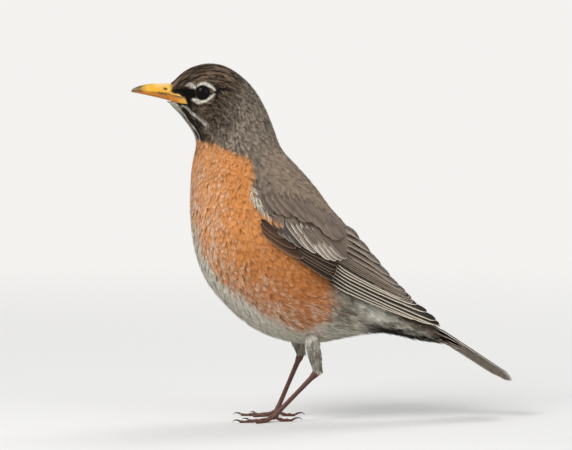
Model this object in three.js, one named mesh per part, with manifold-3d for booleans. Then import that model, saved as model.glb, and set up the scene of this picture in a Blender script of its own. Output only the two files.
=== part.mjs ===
// A life-size american robin standing alert, as a museum model: millimetres, +Z up.
// +X runs from the bill to the tail, -Y is the bird's left side, and the floor is z = 0.
// The origin is the middle of the model's footprint, on the floor.
import * as THREE from 'three';
import { mergeVertices } from 'three/addons/utils/BufferGeometryUtils.js';
import Module from 'manifold-3d';

const wasm = await Module();
wasm.setup();

// Driving sizes
const GAP = 0.3; // clearance between neighbouring pieces
const TARSUS = 33; // ankle to toe joint
const TAIL_LENGTH = 97; // outer tail feathers, root to tip
const EYE = { radius: 4.8, x: -45.3, y: 8.5, z: 172.2 };
const ORBIT = { radius: 12, y: 23.8 }; // a shallow dish round each eye
const BODY_SIDES = 24; // facets round the body

// The body from bill base to tail base, in stations. Each is a closed section in the plane through its
// back and belly points, which are [x, z] on the mid plane; half is its half width, low says how far
// down the section is widest (0 back, 1 belly), and full is its squareness (2 is an ellipse).
const BODY = [
  { name: 'bill base', back: [-61.6, 175.6], belly: [-62.6, 167.2], half: 3.9, low: 0.5, full: 2.1 },
  { name: 'lores', back: [-58.3, 179.4], belly: [-60.2, 164.2], half: 6.6, low: 0.55, full: 2.1 },
  { name: 'forehead', back: [-54.0, 183.1], belly: [-56.7, 160.7], half: 9.0, low: 0.52, full: 2.1 },
  { name: 'eye', back: [-48.2, 185.9], belly: [-53.5, 156.7], half: 11.2, low: 0.5, full: 2.15 },
  { name: 'crown', back: [-40.6, 187.3], belly: [-50.6, 152.8], half: 12.7, low: 0.5, full: 2.15 },
  { name: 'ear', back: [-32.3, 185.7], belly: [-48.5, 148.6], half: 13.5, low: 0.5, full: 2.1 },
  { name: 'hind crown', back: [-24.4, 180.8], belly: [-47.8, 144.9], half: 13.8, low: 0.48, full: 2.05 },
  { name: 'nape', back: [-17.3, 173.9], belly: [-48.4, 141.0], half: 14.2, low: 0.5, full: 2.0 },
  { name: 'neck', back: [-11.7, 164.4], belly: [-49.6, 135.3], half: 15.6, low: 0.52, full: 2.0 },
  { name: 'neck base', back: [-7.2, 153.8], belly: [-50.6, 127.4], half: 18.6, low: 0.55, full: 2.05 },
  { name: 'shoulders', back: [-3.4, 143.0], belly: [-51.0, 116.6], half: 23.4, low: 0.55, full: 2.1 },
  { name: 'mantle', back: [2.7, 136.0], belly: [-50.6, 103.4], half: 28.2, low: 0.55, full: 2.15 },
  { name: 'breast', back: [10.4, 127.8], belly: [-48.4, 88.0], half: 31.0, low: 0.54, full: 2.15 },
  { name: 'mid back', back: [17.8, 118.6], belly: [-42.6, 72.7], half: 32.2, low: 0.54, full: 2.15 },
  { name: 'belly', back: [24.4, 109.0], belly: [-32.1, 59.8], half: 31.8, low: 0.55, full: 2.15 },
  { name: 'hips', back: [30.6, 99.4], belly: [-19.4, 48.8], half: 30.0, low: 0.56, full: 2.15 },
  { name: 'thighs', back: [36.8, 89.6], belly: [-5.5, 42.4], half: 26.8, low: 0.56, full: 2.1 },
  { name: 'rump', back: [43.6, 80.2], belly: [9.5, 39.7], half: 22.8, low: 0.56, full: 2.1 },
  { name: 'flank end', back: [51.2, 71.4], belly: [23.3, 41.2], half: 18.6, low: 0.55, full: 2.1 },
  { name: 'vent', back: [59.0, 63.9], belly: [37.1, 44.0], half: 15.0, low: 0.52, full: 2.1 },
  { name: 'tail coverts', back: [67.0, 57.6], belly: [51.9, 45.0], half: 12.6, low: 0.48, full: 2.1 },
  { name: 'covert tips', back: [74.7, 52.2], belly: [66.0, 41.7], half: 11.4, low: 0.42, full: 2.1 },
  { name: 'tail base', back: [82.4, 46.4], belly: [80.2, 38.2], half: 10.6, low: 0.4, full: 2.1 },
];
const NECK_FROM = 6.4; // the stations at which the body is parted
const TRUNK_FROM = 9.6;
const RUMP_FROM = 17.5;

// The folded wing in sections from the shoulder to the tip. top and bottom are the [x, z] of the strip's
// two edges in side view; yTop and yBottom are how far those edges lie from the mid plane, and bulge
// is how far the strip swells outwards between them.
const WING = [
  { top: [-17.0, 122.0], bottom: [-18.5, 114.5], yTop: 27.4, yBottom: 29.2, bulge: 0.4 },
  { top: [-8.0, 129.0], bottom: [-17.0, 104.2], yTop: 22.6, yBottom: 32.2, bulge: 4.4 },
  { top: [5.0, 124.5], bottom: [-8.5, 95.8], yTop: 19.4, yBottom: 34.0, bulge: 5.6 },
  { top: [19.0, 114.0], bottom: [7.4, 84.6], yTop: 13.6, yBottom: 33.0, bulge: 6.6 },
  { top: [31.6, 101.2], bottom: [24.9, 73.6], yTop: 9.4, yBottom: 29.2, bulge: 7.0 },
  { top: [41.8, 89.6], bottom: [39.2, 66.2], yTop: 6.6, yBottom: 24.2, bulge: 6.2 },
  { top: [51.4, 78.6], bottom: [52.5, 61.0], yTop: 4.6, yBottom: 19.4, bulge: 4.6 },
  { top: [58.8, 67.0], bottom: [63.2, 56.4], yTop: 4.2, yBottom: 16.2, bulge: 2.6 },
  { top: [70.0, 56.3], bottom: [73.3, 50.8], yTop: 7.4, yBottom: 13.6, bulge: 1.0 },
  { top: [81.6, 48.3], bottom: [82.6, 47.6], yTop: 9.6, yBottom: 10.8, bulge: 0.1 },
];
// The wing's feather groups: rows of [section, upper edge, lower edge] in shares of the strip, how far
// they stand out of the wing's own surface, and how many overlapping feathers cross the strip.
const WING_GROUPS = [
  {
    name: 'shoulder', feathers: 1, lift: 0.5, deep: 4.0,
    rows: [[0, 0, 1], [1, 0, 0.66], [2.6, 0, 0.5], [3.5, 0, 0.42], [4.2, 0.02, 0.32]],
  },
  {
    name: 'greater_coverts', feathers: 4, lift: 0.4, deep: 3.2,
    rows: [[1.05, 0.68, 0.83], [2.6, 0.52, 0.8], [4.2, 0.34, 0.74]],
  },
  {
    name: 'alula', feathers: 2, lift: 0.2, deep: 3.0,
    rows: [[1.05, 0.85, 1], [2.6, 0.82, 1], [4.2, 0.76, 1]],
  },
  {
    name: 'tertials', feathers: 3, lift: 0.2, deep: 2.4,
    rows: [[4.24, 0.02, 0.42], [6, 0, 0.44], [7, 0, 0.4]],
  },
  {
    name: 'secondaries', feathers: 3, lift: 0, deep: 2.0,
    rows: [[4.24, 0.44, 0.66], [6, 0.46, 0.64], [7, 0.42, 0.6]],
  },
  {
    name: 'primaries', feathers: 4, lift: 0, deep: 2.0,
    rows: [[4.24, 0.68, 1], [6, 0.66, 1], [7, 0.62, 1], [7.03, 0.62, 1], [7.06, 0, 1], [9, 0, 1]],
  },
];

const TAIL = {
  tip: [120.6, 21.0], // [x, z] of the middle feathers' upper tip
  slope: 0.594, // radians below level
  pairs: 6,
  width: 12.6, // one feather's vane
  thick: 0.5,
  spread: 1.15, // how far each pair lies outside the one above it, at the tip
  drop: 0.62, // how far each pair lies below the one above it, at the tip
  dropAtRoot: 0.9,
  arch: 0.08, // how steeply the vanes fall away to the sides, at the tip
  archAtRoot: 0.18,
  shorter: [3.2, 1.4, 0.4, 0, 0.8, 2.6], // how much each pair's tip falls short
};

const BILL = {
  tip: -81.8, base: -61.0, gape: -52.6, // stations along x
  halfTip: 0.25, halfBase: 3.9, halfGape: 7.5,
  edge: 173.4, edgeDip: 2.0, gapeDip: 3.6, // the cutting edge's height, its fall to the base and the gape
  ridge: 173.9, ridgeRise: 2.7, ridgeFall: 0.6,
  keel: 172.9, keelFall: 4.9, gapeKeelFall: 2.6,
};

const LEGS = {
  // ankle and toe joint are [x, z]; y is the leg's distance from the mid plane; out turns the foot
  left: { side: -1, ankle: [14.2, 26.2], knee: [9.0, 52.0], y: 15.5, kneeY: 17.5, out: 0.16 },
  right: { side: 1, ankle: [9.8, 33.0], knee: [4.0, 56.0], y: 15.5, kneeY: 17.5, out: 0.2 },
};
const SHANK_SHAPE = [
  // share of the way from ankle to toe joint, half width, half depth
  [0, 1.5, 1.9], [0.06, 1.6, 2.1], [0.16, 1.15, 1.45], [0.5, 1.0, 1.25],
  [0.86, 1.1, 1.3], [0.95, 1.7, 1.5], [1, 1.9, 1.5], [1.05, 1.3, 1.1],
];
const TOE_JOINT_Z = 2.7;
const TOES = [
  // turn is from straight ahead, positive away from the body; claw is its length along the curve
  { name: 'middle', length: 19.0, turn: 0.06, thick: 2.1, claw: 6.2 },
  { name: 'inner', length: 13.6, turn: -0.5, thick: 1.9, claw: 5.6 },
  { name: 'outer', length: 14.4, turn: 0.6, thick: 1.9, claw: 5.4 },
  { name: 'hind', length: 10.0, turn: 3.05, thick: 2.2, claw: 7.6 },
];

const paint = (color, roughness) => (
  new THREE.MeshStandardMaterial({ color, roughness, metalness: 0 }));
const COLOURS = {
  crown: paint(0x3a332f, 0.9),
  mantle: paint(0x7d7268, 0.9),
  breast: paint(0xc9722f, 0.9),
  rump: paint(0x8f877c, 0.9),
  thigh: paint(0x9a9286, 0.9),
  wing: paint(0x6f645b, 0.75),
  flight: paint(0x584a40, 0.7),
  tail: paint(0x5b5048, 0.7),
  bill: paint(0xe0a02c, 0.4),
  eye: paint(0x0b0908, 0.05),
  leg: paint(0x6b4134, 0.55),
  claw: paint(0x2a211d, 0.45),
};

// Solids and meshes
const solidOf = (geometry) => {
  const merged = mergeVertices(geometry, 1e-4);
  return new wasm.Manifold(new wasm.Mesh({
    numProp: 3,
    vertProperties: merged.attributes.position.array,
    triVerts: new Uint32Array(merged.index.array),
  }));
};

const largest = (solid) => {
  const bodies = solid.decompose();
  return bodies.sort((a, b) => b.volume() - a.volume())[0];
};

const geometryOf = (solid) => {
  const mesh = solid.getMesh();
  const positions = new Float32Array(mesh.numVert * 3);
  for (let i = 0; i < mesh.numVert; i++) {
    positions.set(mesh.vertProperties.subarray(i * mesh.numProp, i * mesh.numProp + 3), i * 3);
  }
  const geometry = new THREE.BufferGeometry();
  geometry.setAttribute('position', new THREE.BufferAttribute(positions, 3));
  geometry.setIndex(new THREE.BufferAttribute(new Uint32Array(mesh.triVerts), 1));
  return geometry;
};

// A closed skin over rings of points that all have the same count, with flat ends.
const loft = (rings) => {
  const sides = rings[0].length;
  const ends = [rings[0], rings[rings.length - 1]].map((ring) => (
    ring.reduce((sum, p) => sum.add(p), new THREE.Vector3()).divideScalar(sides)));
  const points = [...rings.flat(), ...ends];
  const [firstEnd, lastEnd] = [points.length - 2, points.length - 1];
  const faces = [];
  for (let i = 0; i < sides; i++) {
    const j = (i + 1) % sides;
    for (let r = 0; r + 1 < rings.length; r++) {
      const [a, b, c, d] = [r * sides + i, r * sides + j, (r + 1) * sides + i, (r + 1) * sides + j];
      faces.push(a, b, d, a, d, c);
    }
    const last = (rings.length - 1) * sides;
    faces.push(firstEnd, j, i, lastEnd, last + i, last + j);
  }
  let volume = 0;
  for (let f = 0; f < faces.length; f += 3) {
    const [a, b, c] = [points[faces[f]], points[faces[f + 1]], points[faces[f + 2]]];
    volume += a.dot(new THREE.Vector3().crossVectors(b, c));
  }
  if (volume < 0) faces.reverse();
  const geometry = new THREE.BufferGeometry().setFromPoints(points);
  geometry.setIndex(faces);
  return solidOf(geometry);
};

// A smooth curve through rows of numbers, read at a row number that needn't be whole.
const curveThrough = (rows) => {
  const points = rows.map((row) => new THREE.Vector3(...row));
  const curve = new THREE.CatmullRomCurve3(points, false, 'catmullrom', 0.5);
  return (at) => curve.getPoint(THREE.MathUtils.clamp(at / (rows.length - 1), 0, 1));
};

// Body
const backLine = curveThrough(BODY.map((s) => [s.back[0], 0, s.back[1]]));
const bellyLine = curveThrough(BODY.map((s) => [s.belly[0], 0, s.belly[1]]));
const bodyShape = curveThrough(BODY.map((s) => [s.half, s.low, s.full]));

const bodyRing = (at, grow) => {
  const shape = bodyShape(at);
  const back = backLine(at);
  const down = bellyLine(at).sub(back);
  const depth = down.length();
  down.normalize();
  const ring = [];
  for (let i = 0; i < BODY_SIDES; i++) {
    const turn = (2 * Math.PI * (i + 0.5)) / BODY_SIDES;
    const power = 2 / shape.z;
    const across = Math.sign(Math.sin(turn)) * Math.abs(Math.sin(turn)) ** power * (shape.x + grow);
    const along = Math.cos(turn); // 1 at the back, -1 at the belly
    const reach = (along > 0 ? shape.y : 1 - shape.y) * depth + grow;
    const drop = shape.y * depth - Math.sign(along) * Math.abs(along) ** power * reach;
    ring.push(back.clone().addScaledVector(down, drop).add(new THREE.Vector3(0, across, 0)));
  }
  return ring;
};

const bodyPiece = (from, to, grow = 0) => {
  const steps = Math.max(2, Math.round((to - from) * 2));
  const rings = [];
  for (let i = 0; i <= steps; i++) rings.push(bodyRing(from + ((to - from) * i) / steps, grow));
  return loft(rings);
};

const LAST = BODY.length - 1;
const SLIT = 0.02; // half a parting cut, in stations
const bodyWithClearance = bodyPiece(2, LAST, GAP);

// Bill: two closed halves that meet along a cutting edge that dips to the gape
const billHalf = (upper, grow) => {
  const rings = [];
  const steps = 9;
  const around = 8;
  for (let i = 0; i <= steps; i++) {
    const x = THREE.MathUtils.lerp(BILL.tip, BILL.gape, i / steps);
    const toBase = THREE.MathUtils.clamp((x - BILL.tip) / (BILL.base - BILL.tip), 0, 1);
    const past = THREE.MathUtils.clamp((x - BILL.base) / (BILL.gape - BILL.base), 0, 1);
    const half = THREE.MathUtils.lerp(BILL.halfTip, BILL.halfBase, toBase ** 0.8)
      + (BILL.halfGape - BILL.halfBase) * past + grow;
    const edge = BILL.edge - BILL.edgeDip * toBase - BILL.gapeDip * past ** 1.3;
    const arched = Math.sin((Math.PI / 2) * toBase ** 0.62);
    const ridge = BILL.ridge + BILL.ridgeRise * arched - BILL.ridgeFall * past;
    const keel = BILL.keel - BILL.keelFall * toBase ** 0.75 - BILL.gapeKeelFall * past;
    const flat = edge + (upper ? 1 : -1) * (GAP / 2 - grow);
    const peak = upper ? Math.max(ridge, edge + 0.4) + grow : Math.min(keel, edge - 0.4) - grow;
    const ring = [];
    for (let k = 0; k <= around; k++) {
      const turn = (Math.PI * k) / around;
      const rise = (peak - flat) * Math.sin(turn) ** 0.85;
      ring.push(new THREE.Vector3(x, half * Math.cos(turn), flat + rise));
    }
    rings.push(ring);
  }
  return loft(rings);
};

const ball = (radius, x, y, z) => (
  solidOf(plain(new THREE.IcosahedronGeometry(radius, 2)).translate(x, y, z)));

function plain(geometry) {
  geometry.deleteAttribute('normal');
  geometry.deleteAttribute('uv');
  return geometry;
}

// Wing
const wingTop = curveThrough(WING.map((s) => [s.top[0], s.yTop, s.top[1]]));
const wingBottom = curveThrough(WING.map((s) => [s.bottom[0], s.yBottom, s.bottom[1]]));
const wingSwell = curveThrough(WING.map((s) => [s.bulge, 0, 0]));

const wingPoint = (at, share, out) => {
  const p = wingTop(at).lerp(wingBottom(at), share);
  p.y += wingSwell(at).x * Math.sin(Math.PI * share ** 0.85) + out;
  return p;
};

const rowAt = (rows, at) => {
  const i = Math.max(1, rows.findIndex((row) => row[0] >= at));
  const [a, b] = [rows[i - 1], rows[i]];
  const share = THREE.MathUtils.clamp((at - a[0]) / (b[0] - a[0]), 0, 1);
  return [1, 2].map((k) => a[k] + (b[k] - a[k]) * share);
};

const wingGroup = (group, side) => {
  const across = Math.max(4, group.feathers + 1);
  const [first, last] = [group.rows[0][0], group.rows[group.rows.length - 1][0]];
  const steps = Math.ceil((last - first) * 1.35);
  const stops = [...Array(steps + 1).keys()].map((i) => first + ((last - first) * i) / steps);
  const corners = group.rows.map((row) => row[0]).filter((at) => at > first && at < last);
  const rings = [...new Set([...stops, ...corners])].sort((a, b) => a - b).map((at) => {
    const [from, to] = rowAt(group.rows, at);
    const toTip = THREE.MathUtils.smoothstep(at, 7, 9);
    const deep = group.deep * (1 - 0.6 * toTip);
    const ring = [];
    for (let k = 0; k <= across; k++) {
      const share = k / across;
      const step = group.feathers > 1 ? 0.35 * ((share * group.feathers) % 1) * (1 - toTip) : 0;
      ring.push(wingPoint(at, from + (to - from) * share, group.lift + step));
    }
    for (let k = across; k >= 0; k--) {
      ring.push(wingPoint(at, from + (to - from) * (k / across), group.lift - deep));
    }
    ring.forEach((p) => { p.y *= side; });
    return ring;
  });
  return largest(loft(rings).subtract(bodyWithClearance));
};

// Tail: pairs of long vanes, the middle pair on top
const tailFeather = (pair, side) => {
  const along = new THREE.Vector3(Math.cos(TAIL.slope), 0, -Math.sin(TAIL.slope));
  const up = new THREE.Vector3(Math.sin(TAIL.slope), 0, Math.cos(TAIL.slope));
  const tip = new THREE.Vector3(TAIL.tip[0], 0, TAIL.tip[1]);
  const length = TAIL_LENGTH - TAIL.shorter[pair];
  const rings = [];
  const steps = 5;
  for (let i = 0; i <= steps; i++) {
    const share = 1 - (1 - i / steps) ** 2; // closer together towards the tip
    const back = (1 - share) * length + TAIL.shorter[pair]; // distance short of the tail's tip
    const toRoot = back / TAIL_LENGTH;
    const round = Math.sqrt(Math.max(0, 1 - Math.max(0, (share - 0.93) / 0.07) ** 2));
    const width = TAIL.width * (1 - 0.45 * toRoot) * (0.35 + 0.65 * round);
    const inner = GAP / 2 + TAIL.spread * pair * (1 - toRoot) * 0.35;
    const low = THREE.MathUtils.lerp(TAIL.drop, TAIL.dropAtRoot, toRoot) * pair + 0.1;
    const ring = [];
    const arch = THREE.MathUtils.lerp(TAIL.arch, TAIL.archAtRoot, toRoot);
    for (const [y, below] of [[0, 0], [1, 0], [1, TAIL.thick], [0, TAIL.thick]]) {
      const yHere = inner + TAIL.spread * 0.35 * pair * (1 - toRoot) * y + width * y;
      const drop = low + arch * yHere + below;
      ring.push(tip.clone().addScaledVector(along, -back).addScaledVector(up, -drop)
        .add(new THREE.Vector3(0, side * yHere, 0)));
    }
    rings.push(ring);
  }
  return largest(loft(rings).subtract(bodyWithClearance));
};

// Legs: a round bar through points, each [x, y, z, half width, half depth]
const bar = (rows, sides = 10) => {
  const at = rows.map((row) => new THREE.Vector3(...row.slice(0, 3)));
  const rings = rows.map((row, i) => {
    const ahead = at[Math.min(i + 1, at.length - 1)].clone().sub(at[Math.max(i - 1, 0)]).normalize();
    const side = Math.abs(ahead.y) > 0.9 ? new THREE.Vector3(1, 0, 0) : new THREE.Vector3(0, 1, 0);
    side.addScaledVector(ahead, -side.dot(ahead)).normalize();
    const up = new THREE.Vector3().crossVectors(ahead, side);
    return [...Array(sides).keys()].map((k) => {
      const turn = (2 * Math.PI * (k + 0.5)) / sides;
      return at[i].clone()
        .addScaledVector(side, row[3] * Math.cos(turn))
        .addScaledVector(up, row[4] * Math.sin(turn));
    });
  });
  return loft(rings);
};

const floorCut = solidOf(plain(new THREE.BoxGeometry(300, 300, 20)).translate(0, 0, -10));

const jointOf = (leg) => {
  const rise = leg.ankle[1] - TOE_JOINT_Z;
  return [leg.ankle[0] - Math.sqrt(TARSUS ** 2 - rise ** 2), TOE_JOINT_Z];
};

const thigh = (leg) => {
  const rows = [0, 0.3, 0.55, 0.78, 0.93, 1].map((share) => {
    const half = THREE.MathUtils.lerp(11.5, 2.3, share ** 0.62);
    return [
      THREE.MathUtils.lerp(leg.knee[0], leg.ankle[0], share),
      leg.side * THREE.MathUtils.lerp(leg.kneeY, leg.y, share),
      THREE.MathUtils.lerp(leg.knee[1], leg.ankle[1] + 0.6, share),
      half * 0.8,
      half,
    ];
  });
  return largest(bar(rows).subtract(bodyWithClearance));
};

const shank = (leg, grow = 0) => {
  const joint = jointOf(leg);
  return bar(SHANK_SHAPE.map(([share, wide, deep]) => [
    THREE.MathUtils.lerp(leg.ankle[0], joint[0], share),
    leg.side * leg.y,
    THREE.MathUtils.lerp(leg.ankle[1], joint[1], share),
    wide + grow,
    deep + grow,
  ]));
};

const toeLine = (leg, toe) => {
  const joint = jointOf(leg);
  const turn = leg.side * (toe.turn + leg.out);
  const ahead = new THREE.Vector3(-Math.cos(turn), Math.sin(turn), 0);
  return (along, z) => new THREE.Vector3(joint[0], leg.side * leg.y, z).addScaledVector(ahead, along);
};

const toeBar = (leg, toe, grow = 0) => {
  const line = toeLine(leg, toe);
  const rows = [];
  const steps = 6;
  for (let i = 0; i <= steps; i++) {
    const share = i / steps;
    const pad = 1 + 0.13 * Math.cos(Math.PI * steps * share); // the joints' pads
    const half = (toe.thick / 2) * (1 - 0.22 * share) * pad;
    const z = THREE.MathUtils.lerp(TOE_JOINT_Z, half - 0.18, Math.min(1, share * 2.6) ** 0.7);
    rows.push([...line(0.6 + (toe.length - 0.6) * share, z).toArray(), half + grow, half + grow]);
  }
  return bar(rows, 6);
};

// A toe, cut clear of the shank, of the toes made before it and of the floor.
const toePiece = (leg, toe) => {
  let piece = toeBar(leg, toe).subtract(shank(leg, GAP)).subtract(floorCut);
  for (const other of TOES.slice(0, TOES.indexOf(toe))) piece = piece.subtract(toeBar(leg, other, GAP));
  return largest(piece);
};

const clawPiece = (leg, toe) => {
  const line = toeLine(leg, toe);
  const rows = [];
  const steps = 4;
  const arc = 1.25; // radians that the claw turns through
  const radius = toe.claw / arc;
  for (let i = 0; i <= steps; i++) {
    const share = i / steps;
    const turn = arc * share;
    const half = (toe.thick / 2) * 0.62 * (1 - 0.82 * share);
    const along = toe.length - 0.4 + radius * Math.sin(turn);
    const z = 0.95 + 0.5 * Math.sin(Math.PI * share) * toe.claw * 0.32 - 0.4 * share;
    rows.push([...line(along, z).toArray(), half * 0.8, half]);
  }
  return largest(bar(rows, 6).subtract(toeBar(leg, toe, GAP)).subtract(floorCut));
};

// Assembly
const robin = new THREE.Group();
const add = (name, solid, material) => {
  const mesh = new THREE.Mesh(geometryOf(solid), material);
  mesh.name = name;
  robin.add(mesh);
  return solid;
};

const eyes = [-1, 1].map((side) => ball(EYE.radius, EYE.x, side * EYE.y, EYE.z));
const hollows = [-1, 1].flatMap((side) => [
  ball(EYE.radius + GAP, EYE.x, side * EYE.y, EYE.z),
  ball(ORBIT.radius, EYE.x, side * ORBIT.y, EYE.z),
]);
const billSpace = billHalf(true, GAP).add(billHalf(false, GAP));
const skull = bodyPiece(0, NECK_FROM - SLIT).subtract(billSpace);
const head = hollows.reduce((left, hollow) => left.subtract(hollow), skull);
add('head', largest(head), COLOURS.crown);
add('neck', bodyPiece(NECK_FROM + SLIT, TRUNK_FROM - SLIT), COLOURS.mantle);
add('trunk', bodyPiece(TRUNK_FROM + SLIT, RUMP_FROM - SLIT), COLOURS.breast);
add('rump', bodyPiece(RUMP_FROM + SLIT, LAST), COLOURS.rump);
add('bill_upper', billHalf(true, 0), COLOURS.bill);
add('bill_lower', billHalf(false, 0), COLOURS.bill);
add('eye_left', eyes[0], COLOURS.eye);
add('eye_right', eyes[1], COLOURS.eye);

for (const [name, leg] of Object.entries(LEGS)) {
  for (const group of WING_GROUPS) {
    const material = group.name === 'primaries' || group.name === 'alula' ? COLOURS.flight : COLOURS.wing;
    add(`wing_${name}_${group.name}`, wingGroup(group, leg.side), material);
  }
  for (let pair = 0; pair < TAIL.pairs; pair++) {
    add(`tail_${name}_${pair + 1}`, tailFeather(pair, leg.side), COLOURS.tail);
  }
  const ankle = shank(leg, GAP);
  add(`thigh_${name}`, largest(thigh(leg).subtract(ankle)), COLOURS.thigh);
  add(`shank_${name}`, shank(leg).subtract(floorCut), COLOURS.leg);
  for (const toe of TOES) {
    add(`toe_${name}_${toe.name}`, toePiece(leg, toe), COLOURS.leg);
    add(`claw_${name}_${toe.name}`, clawPiece(leg, toe), COLOURS.claw);
  }
}

const bounds = new THREE.Box3().setFromObject(robin);
const middle = bounds.getCenter(new THREE.Vector3());
robin.position.set(-middle.x, -middle.y, -bounds.min.z);

export default robin;
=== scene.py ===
import math

import bmesh
import bpy
import numpy as np
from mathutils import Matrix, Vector
from mathutils.bvhtree import BVHTree


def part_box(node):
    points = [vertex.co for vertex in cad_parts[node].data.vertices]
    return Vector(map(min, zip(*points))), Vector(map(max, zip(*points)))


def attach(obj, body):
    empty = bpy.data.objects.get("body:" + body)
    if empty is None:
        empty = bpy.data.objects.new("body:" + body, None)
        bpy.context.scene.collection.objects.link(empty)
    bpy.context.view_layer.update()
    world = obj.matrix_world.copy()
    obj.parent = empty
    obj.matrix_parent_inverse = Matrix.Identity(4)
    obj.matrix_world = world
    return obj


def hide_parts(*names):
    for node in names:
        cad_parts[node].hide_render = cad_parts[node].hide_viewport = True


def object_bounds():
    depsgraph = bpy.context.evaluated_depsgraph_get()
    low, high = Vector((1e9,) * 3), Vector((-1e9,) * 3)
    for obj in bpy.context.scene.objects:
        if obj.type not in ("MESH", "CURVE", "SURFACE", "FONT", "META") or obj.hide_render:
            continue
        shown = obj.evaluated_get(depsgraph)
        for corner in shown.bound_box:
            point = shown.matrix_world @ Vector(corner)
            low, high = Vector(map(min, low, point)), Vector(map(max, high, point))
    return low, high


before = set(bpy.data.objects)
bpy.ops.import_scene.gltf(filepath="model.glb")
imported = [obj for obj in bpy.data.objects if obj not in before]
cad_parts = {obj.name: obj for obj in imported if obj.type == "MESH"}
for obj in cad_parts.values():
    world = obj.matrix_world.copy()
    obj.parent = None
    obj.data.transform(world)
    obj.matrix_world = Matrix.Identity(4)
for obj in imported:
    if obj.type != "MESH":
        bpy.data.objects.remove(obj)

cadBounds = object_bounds()
mm = 0.001
billTipX = cadBounds[0].x / mm
rng = np.random.default_rng(1907)

# Lengths are in millimetres, and a place is [behind the bill tip, right of the middle, above the
# floor]: the bird's left side has a negative middle number.


def say(stage):
    print("stage:", stage, flush=True)


def toScene(points):
    moved = np.array(points, float)
    moved[..., 0] += billTipX
    return moved * mm


def fromScene(points):
    moved = np.array(points, float) / mm
    moved[..., 0] -= billTipX
    return moved


# camera

cameraSettings = {
    "azimuth": -8.0,        # turned towards the bird's front
    "elevation": 3.4,
    "distance": 3000.0,
    "viewWidth": 300.0,     # what the frame takes in at the bird
    "middle": (81.4, 0.0, 102.1),
}


def addCamera(cfg):
    a, e = math.radians(cfg["azimuth"]), math.radians(cfg["elevation"])
    back = Vector((math.sin(a) * math.cos(e), -math.cos(a) * math.cos(e), math.sin(e)))
    data = bpy.data.cameras.new("camera")
    data.lens = data.sensor_width * cfg["distance"] / cfg["viewWidth"]
    data.clip_start, data.clip_end = 0.1, 20.0
    camera = bpy.data.objects.new("camera", data)
    bpy.context.scene.collection.objects.link(camera)
    camera.location = Vector(toScene(cfg["middle"])) + back * cfg["distance"] * mm
    camera.rotation_euler = (-back).to_track_quat("-Z", "Y").to_euler()
    bpy.context.scene.camera = camera


addCamera(cameraSettings)
say("camera")


# smooth lines and fades

def through(rows, at):
    # a smooth curve through rows of numbers, read at shares from 0 to 1
    rows = np.array(rows, float)
    t = np.clip(np.atleast_1d(at), 0, 1) * (len(rows) - 1)
    i = np.minimum(t.astype(int), len(rows) - 2)
    f = (t - i)[:, None]
    padded = np.vstack([2 * rows[0] - rows[1], rows, 2 * rows[-1] - rows[-2]])
    a, b, c, d = (padded[i + k] for k in range(4))
    return b + 0.5 * f * (c - a + f * (2 * a - 5 * b + 4 * c - d + f * (3 * (b - c) + d - a)))


def fade(x, low, high):
    t = np.clip((np.asarray(x, float) - low) / (high - low), 0, 1)
    return t * t * (3 - 2 * t)


def unit(v):
    return v / np.maximum(np.linalg.norm(v, axis=-1, keepdims=True), 1e-9)


def linear(red, green, blue):
    c = np.array([red, green, blue], float) / 255
    return np.where(c <= 0.04045, c / 12.92, ((c + 0.055) / 1.055) ** 2.4)


def speckle(points, size, seed=0):
    # smooth value noise, about -1 to 1, the same on every run
    p = np.asarray(points, float) / size + 137.3 + seed * 11.7
    whole = np.floor(p).astype(np.int64)
    f = p - whole
    f = f * f * (3 - 2 * f)
    total = 0
    for corner in range(8):
        step = np.array([corner & 1, corner >> 1 & 1, corner >> 2 & 1])
        q = whole + step
        n = q[..., 0] * 73856093 ^ q[..., 1] * 19349663 ^ q[..., 2] * 83492791
        n = (n ^ n >> 13) * 1274126177 & 0x7FFFFFFF
        weight = np.prod(np.where(step, f, 1 - f), -1)
        total = total + weight * ((n >> 7) % 4096 / 2047.5 - 1)
    return total


# meshes

def addMesh(name, points, faces, maps=None, values=None, colours=None, material=None, smooth=True):
    # points in millimetres; faces is a list of index arrays, one for each count of corners
    faces = [np.asarray(f, np.int32) for f in faces if len(f)]
    data = bpy.data.meshes.new(name)
    loops = np.concatenate([f.ravel() for f in faces])
    counts = np.concatenate([np.full(len(f), f.shape[1]) for f in faces])
    data.vertices.add(len(points))
    data.vertices.foreach_set("co", toScene(points).astype(np.float32).ravel())
    data.loops.add(len(loops))
    data.loops.foreach_set("vertex_index", loops)
    data.polygons.add(len(counts))
    starts = np.concatenate([[0], np.cumsum(counts)[:-1]])
    data.polygons.foreach_set("loop_start", starts.astype(np.int32))
    data.polygons.foreach_set("use_smooth", np.full(len(counts), smooth))
    data.update(calc_edges=True)
    for key, uv in (maps or {}).items():
        data.uv_layers.new(name=key).data.foreach_set("uv", np.asarray(uv, np.float32)[loops].ravel())
    for key, value in (values or {}).items():
        data.attributes.new(key, "FLOAT", "POINT").data.foreach_set("value", np.asarray(value, np.float32))
    if colours is not None:
        rgba = np.ones((len(points), 4), np.float32)
        rgba[:, :3] = colours
        data.attributes.new("markings", "FLOAT_COLOR", "POINT").data.foreach_set("color", rgba.ravel())
    thing = bpy.data.objects.new(name, data)
    bpy.context.scene.collection.objects.link(thing)
    if material:
        data.materials.append(material)
    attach(thing, "root")
    return thing


def gridFaces(rows, columns, wrap=False):
    r, c = np.meshgrid(np.arange(rows - 1), np.arange(columns if wrap else columns - 1), indexing="ij")
    d = (c + 1) % columns
    corners = [r * columns + c, r * columns + d, (r + 1) * columns + d, (r + 1) * columns + c]
    return np.stack(corners, -1).reshape(-1, 4)


def nodesLike(*starts):
    return [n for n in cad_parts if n.startswith(starts)]


def nodeMiddle(name):
    low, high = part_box(name)
    return fromScene((np.array(low) + np.array(high)) / 2)


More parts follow.
